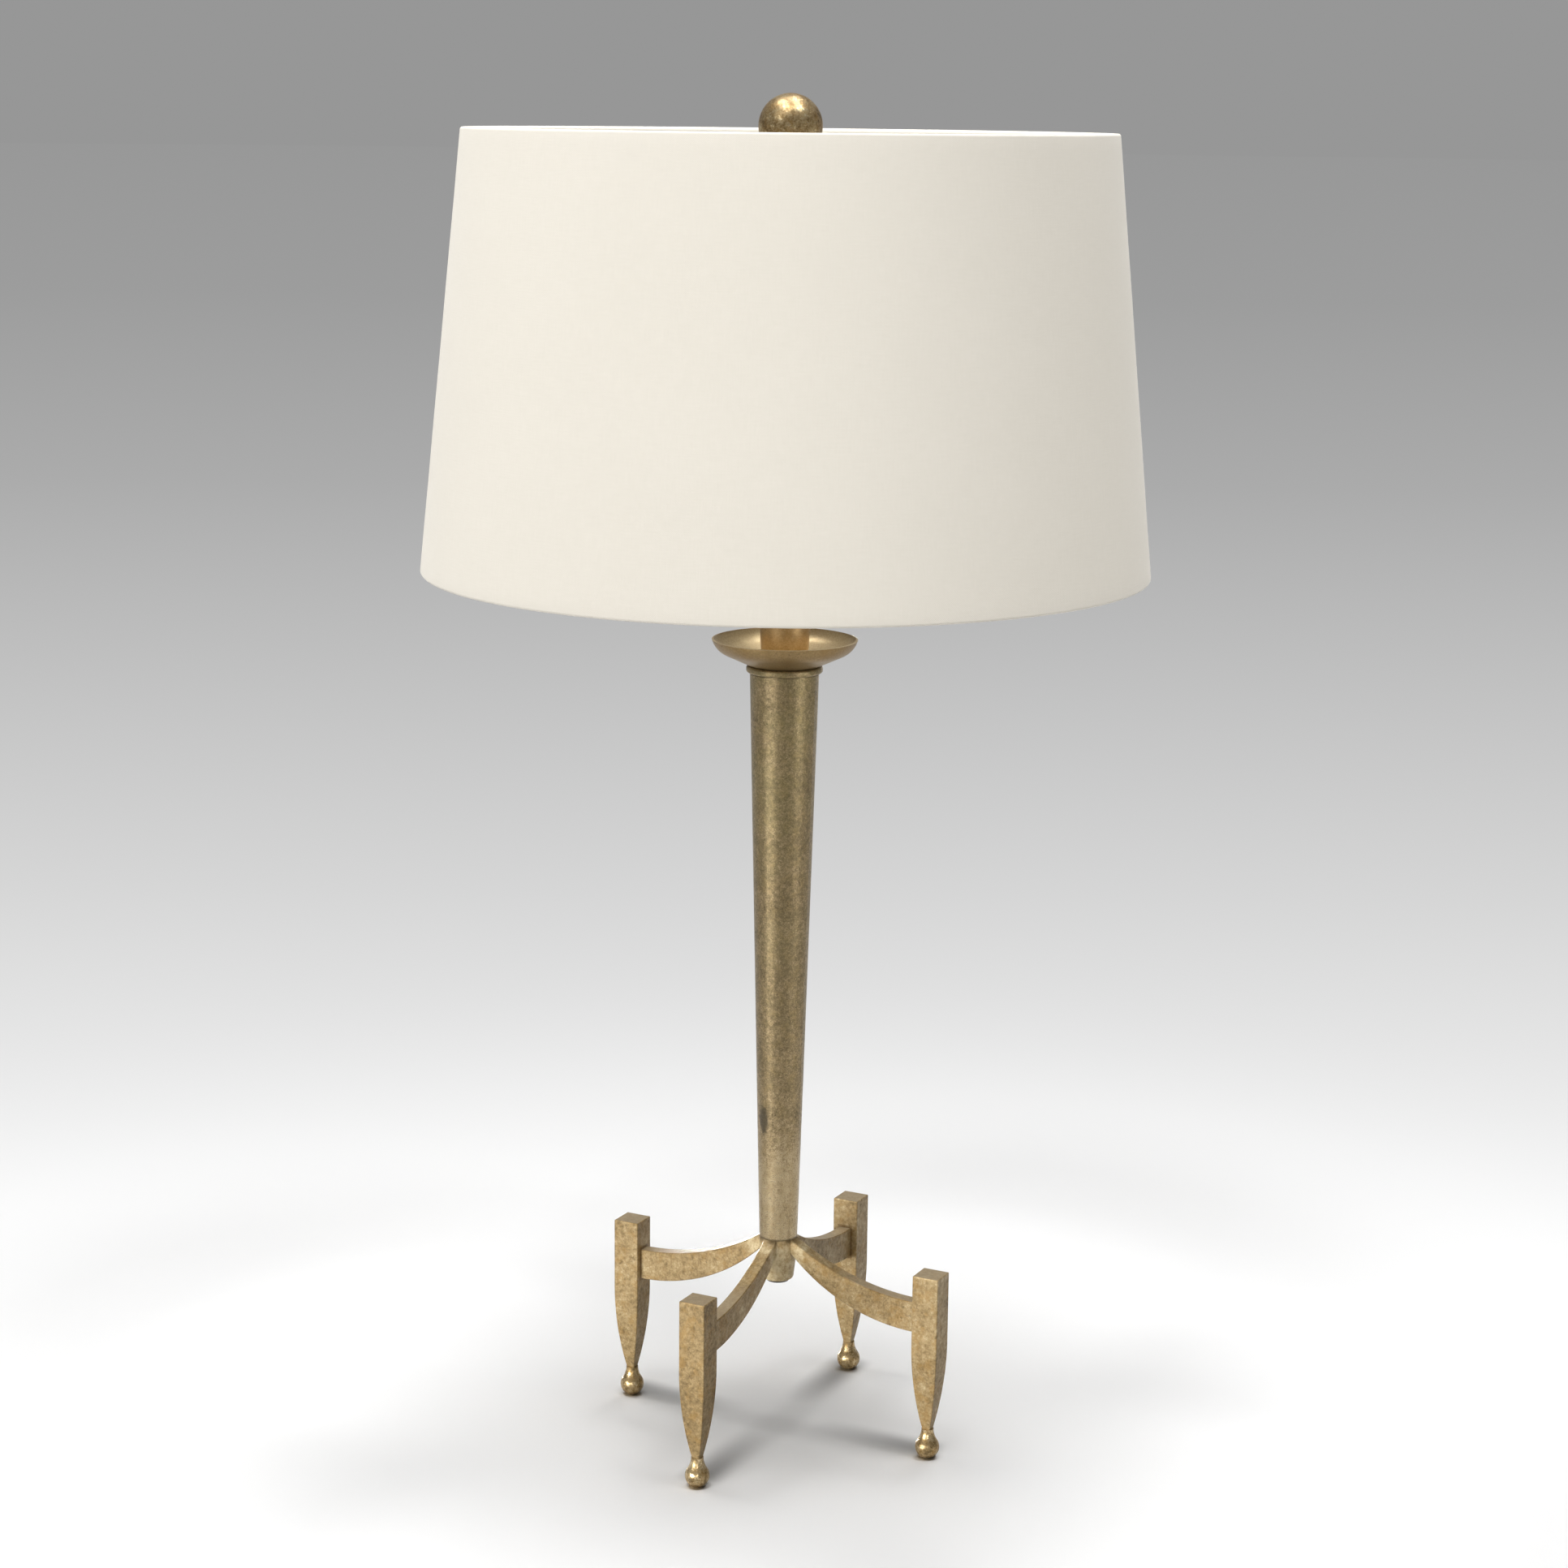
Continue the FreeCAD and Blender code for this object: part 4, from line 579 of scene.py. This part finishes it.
def makeCamera():
    azimuth, tilt, roll, yaw = (math.radians(eye[k]) for k in ("azimuth", "tilt", "roll", "yaw"))
    ahead = Vector((-math.sin(azimuth + yaw) * math.cos(tilt), math.cos(azimuth + yaw) * math.cos(tilt),
                    -math.sin(tilt)))
    right = ahead.cross(Vector((0, 0, 1))).normalized()
    up = right.cross(ahead)
    right, up = (right * math.cos(roll) + up * math.sin(roll), up * math.cos(roll) - right * math.sin(roll))
    lens = bpy.data.cameras.new("photoEye")
    lens.sensor_width = eye["sensor"]
    lens.lens = eye["focal"] / eye["imageSide"] * eye["sensor"]
    camera = bpy.data.objects.new("photoEye", lens)
    turned = Matrix((right, up, -ahead)).transposed().to_4x4()
    camera.matrix_world = Matrix.Translation(aroundLamp(azimuth, eye["away"], eye["height"])) @ turned
    bpy.context.scene.collection.objects.link(camera)
    bpy.context.scene.camera = camera


makeCamera()
print("camera set")


# Stage: a pale floor that grades to grey in the distance, with a painted shadow streak in from each foot, and
# grey air above it
stage = {
    "reach": 60.0, "rings": 24, "spokes": 64, "below": -0.0001,
    "albedo": 0.6, "shown": 0.95, "near": (0.45, 1.2),  # lit by lamps up to here, a plain tone beyond
    "pool": 0.5, "fall": 2.0, "frontPool": 0.25, "frontFall": 3.0,
    "greys": ((0.0, 1.0), (0.05, 1.0), (0.16, 0.92), (0.41, 0.672), (0.72, 0.407), (0.86, 0.335),
              (1.0, 0.309)),
    "air": 0.309, "fill": 0.04,
}
# a painted shadow streak running in from each foot
contact = {"shift": (-0.004, 0.0105), "reach": (0.025, 0.1), "stop": (0.1, 0.116), "half": (0.001, 0.018),
           "share": 0.55}


def grey(level):
    return (level, level, level, 1.0)


def paintedFootShadow(x, y):  # painted shadow: the soft dark streak that runs in from each foot towards the middle
    far, near = onCross(x - contact["shift"][0], y - contact["shift"][1])
    start, end = contact["reach"]
    along = ((far - start) / (end - start)).most(0.0).least(1.0) * (1 - far.rise(*contact["stop"]))
    return along * (1 - near.rise(*contact["half"])) * contact["share"]


def floorFinish():  # the tone falls off behind the lamp, outside its pool of light and towards the front
    f = newMaterial("paleFloor")
    x, y = f.axes()[:2]
    azimuth = math.radians(eye["azimuth"])
    behind = y * math.cos(azimuth) - x * math.sin(azimuth)
    out = fromAxis(x, y)
    front = (behind * -1 - stage["frontPool"]) * stage["frontFall"]
    far = behind.most(out - stage["pool"]).most(front).most(0.0)
    tone = f.ramp(far / (far + stage["fall"]), [(place, grey(level)) for place, level in stage["greys"]])
    shaded = f.tint(paintedFootShadow(x, y) + (1 - stage["shown"]), tone, grey(0.0))
    close = f.add("BsdfDiffuse", {}, {"Color": shaded})
    distant = f.add("Emission", {}, {"Color": tone, "Strength": 1.0})
    shown = f.add("MixShader", {}, {0: out.rise(*stage["near"]), 1: close, 2: distant})
    plain = f.add("BsdfDiffuse", {}, {"Color": grey(stage["albedo"])})
    return f.show(f.add("MixShader", {}, {0: f.looked(), 1: plain, 2: shown}))


def makeFloor():  # a disc: radius and angle, rings closer together near the lamp
    ring = stage["reach"] * np.linspace(0, 1, stage["rings"])[:, None] ** 2
    turn = np.linspace(0, fullTurn, stage["spokes"] + 1)[None, :]
    points = np.stack([ring * np.cos(turn), ring * np.sin(turn), 0 * ring * turn + stage["below"]], axis=-1)
    floor = gridPiece("floor", points, points[..., :2], floorFinish())


def makeAir():  # grey where it is looked at, a faint fill of light otherwise
    air = Finish(bpy.data.worlds.new("studioAir"))
    tone = air.tint(air.looked(), grey(stage["fill"]), grey(stage["air"]))
    bpy.context.scene.world = air.show(air.add("Background", {}, {"Color": tone, "Strength": 1.0}))


makeFloor()
makeAir()
print("stage set")


# Lamps: four soft boxes and a sky panel overhead, and panels that each light one group of pieces
overhead = {"size": (0.9, 0.9), "watts": 46.0, "away": 1.42, "height": 4.0, "aim": 0.0}
lamps = {
    "skyPanel": {"size": (3.6, 3.6), "watts": 36.0, "angle": 0.0, "away": 0.0, "height": 4.0, "aim": 0.0},
    "shadeLeft": {"lights": "shade", "size": (1.6, 1.4), "watts": 28.0,
                  "angle": -50.0, "away": 2.2, "height": 1.2, "aim": 0.65},
    "shadeRight": {"lights": "shade", "size": (1.4, 1.4), "watts": 13.5,
                   "angle": 46.0, "away": 2.3, "height": 1.0, "aim": 0.65},
    "columnLeft": {"lights": "column", "size": (1.1, 0.7), "watts": 5.8,
                   "angle": -40.0, "away": 1.6, "height": 0.55, "aim": 0.4},
    "columnLow": {"lights": "column", "size": (0.5, 0.16), "watts": 3.3,
                  "angle": -50.0, "away": 1.0, "height": 0.02, "aim": 0.25},
    "columnRight": {"lights": "column", "size": (0.8, 1.6), "watts": 14.0,
                    "angle": 57.0, "away": 1.8, "height": 0.5, "aim": 0.4},
    "baseLeft": {"lights": "base", "size": (1.4, 0.6), "watts": 62.0,
                 "angle": -48.0, "away": 2.4, "height": 0.35, "aim": 0.06},
    "baseFront": {"lights": "base", "size": (0.8, 0.5), "watts": 10.0,
                  "angle": -5.0, "away": 2.2, "height": 0.5, "aim": 0.06},
    "baseTop": {"lights": "base", "shadedBy": "base", "size": (1.2, 1.2), "watts": 25.0,
                "angle": 0.0, "away": 0.0, "height": 2.5, "aim": 0.0},
    "footGlow": {"lights": "foot", "shadedBy": "foot", "size": (0.5, 0.06), "watts": 0.12,
                 "angle": -22.0, "away": 0.42, "height": 0.01, "aim": 0.12},
    "shadeBackLeft": {"lights": "shade", "size": (0.9, 0.9), "watts": 7.0,
                      "angle": -158.0, "away": 2.2, "height": 0.67, "aim": 0.67},
    "shadeBackRight": {"lights": "shade", "size": (0.9, 0.9), "watts": 7.0,
                       "angle": 158.0, "away": 2.2, "height": 0.67, "aim": 0.67},
    "columnBack": {"lights": "column", "size": (0.9, 0.7), "watts": 4.0,
                   "angle": 165.0, "away": 1.6, "height": 0.55, "aim": 0.4},
    "baseBack": {"lights": "base", "size": (1.4, 0.12), "watts": 45.0,
                 "angle": -158.0, "away": 2.4, "height": 0.06, "aim": 0.06},
    "finialLeft": {"lights": "finial", "size": (0.7, 0.7), "watts": 5.0,
                   "angle": -45.0, "away": 1.6, "height": 1.9, "aim": 0.8},
}
for number in range(4):
    lamps[f"overheadLamp{number}"] = {**overhead, "angle": 90.0 * number - eye["azimuth"]}
groups = {
    "shade": [shadeCover, nodes["shade_liner"]],
    "column": [nodes[name] for name in ("column", "collar", "saucer", "candle_cup", "cup_lid")],
    "base": [nodes[name] for name in nodes if name in finishes[leafMaterial] or "ball_foot" in name],
    "foot": [nodes["column"]],
    "finial": [nodes["finial_ball"]],
}


def makeGroup(name):  # the pieces that a panel lights
    group = bpy.data.collections.new(name)
    for piece in groups[name]:
        group.objects.link(piece)
    return group


linked = {name: makeGroup(name) for name in groups}


def makeLamp(name, lamp):  # the angle is counted from the camera, to its right
    place = aroundLamp(math.radians(eye["azimuth"] + lamp["angle"]), lamp["away"], lamp["height"])
    aim = (Vector((0, 0, lamp["aim"])) - place).to_track_quat("-Z", "Y")
    light = bpy.data.lights.new(name, "AREA")
    light.shape = "RECTANGLE"
    light.size, light.size_y = lamp["size"]
    light.energy = lamp["watts"]
    light.cycles.use_multiple_importance_sampling = False  # so that linked panels add up with the others
    holder = bpy.data.objects.new(name, light)
    holder.matrix_world = Matrix.Translation(place) @ aim.to_matrix().to_4x4()
    holder.visible_camera = False
    if "lights" in lamp:
        holder.light_linking.receiver_collection = linked[lamp["lights"]]
    if "shadedBy" in lamp:
        holder.light_linking.blocker_collection = linked[lamp["shadedBy"]]
    bpy.context.scene.collection.objects.link(holder)


for name, lamp in lamps.items():
    makeLamp(name, lamp)
print("lamps set:", len(lamps))

bpy.context.scene.view_settings.view_transform = "Standard"
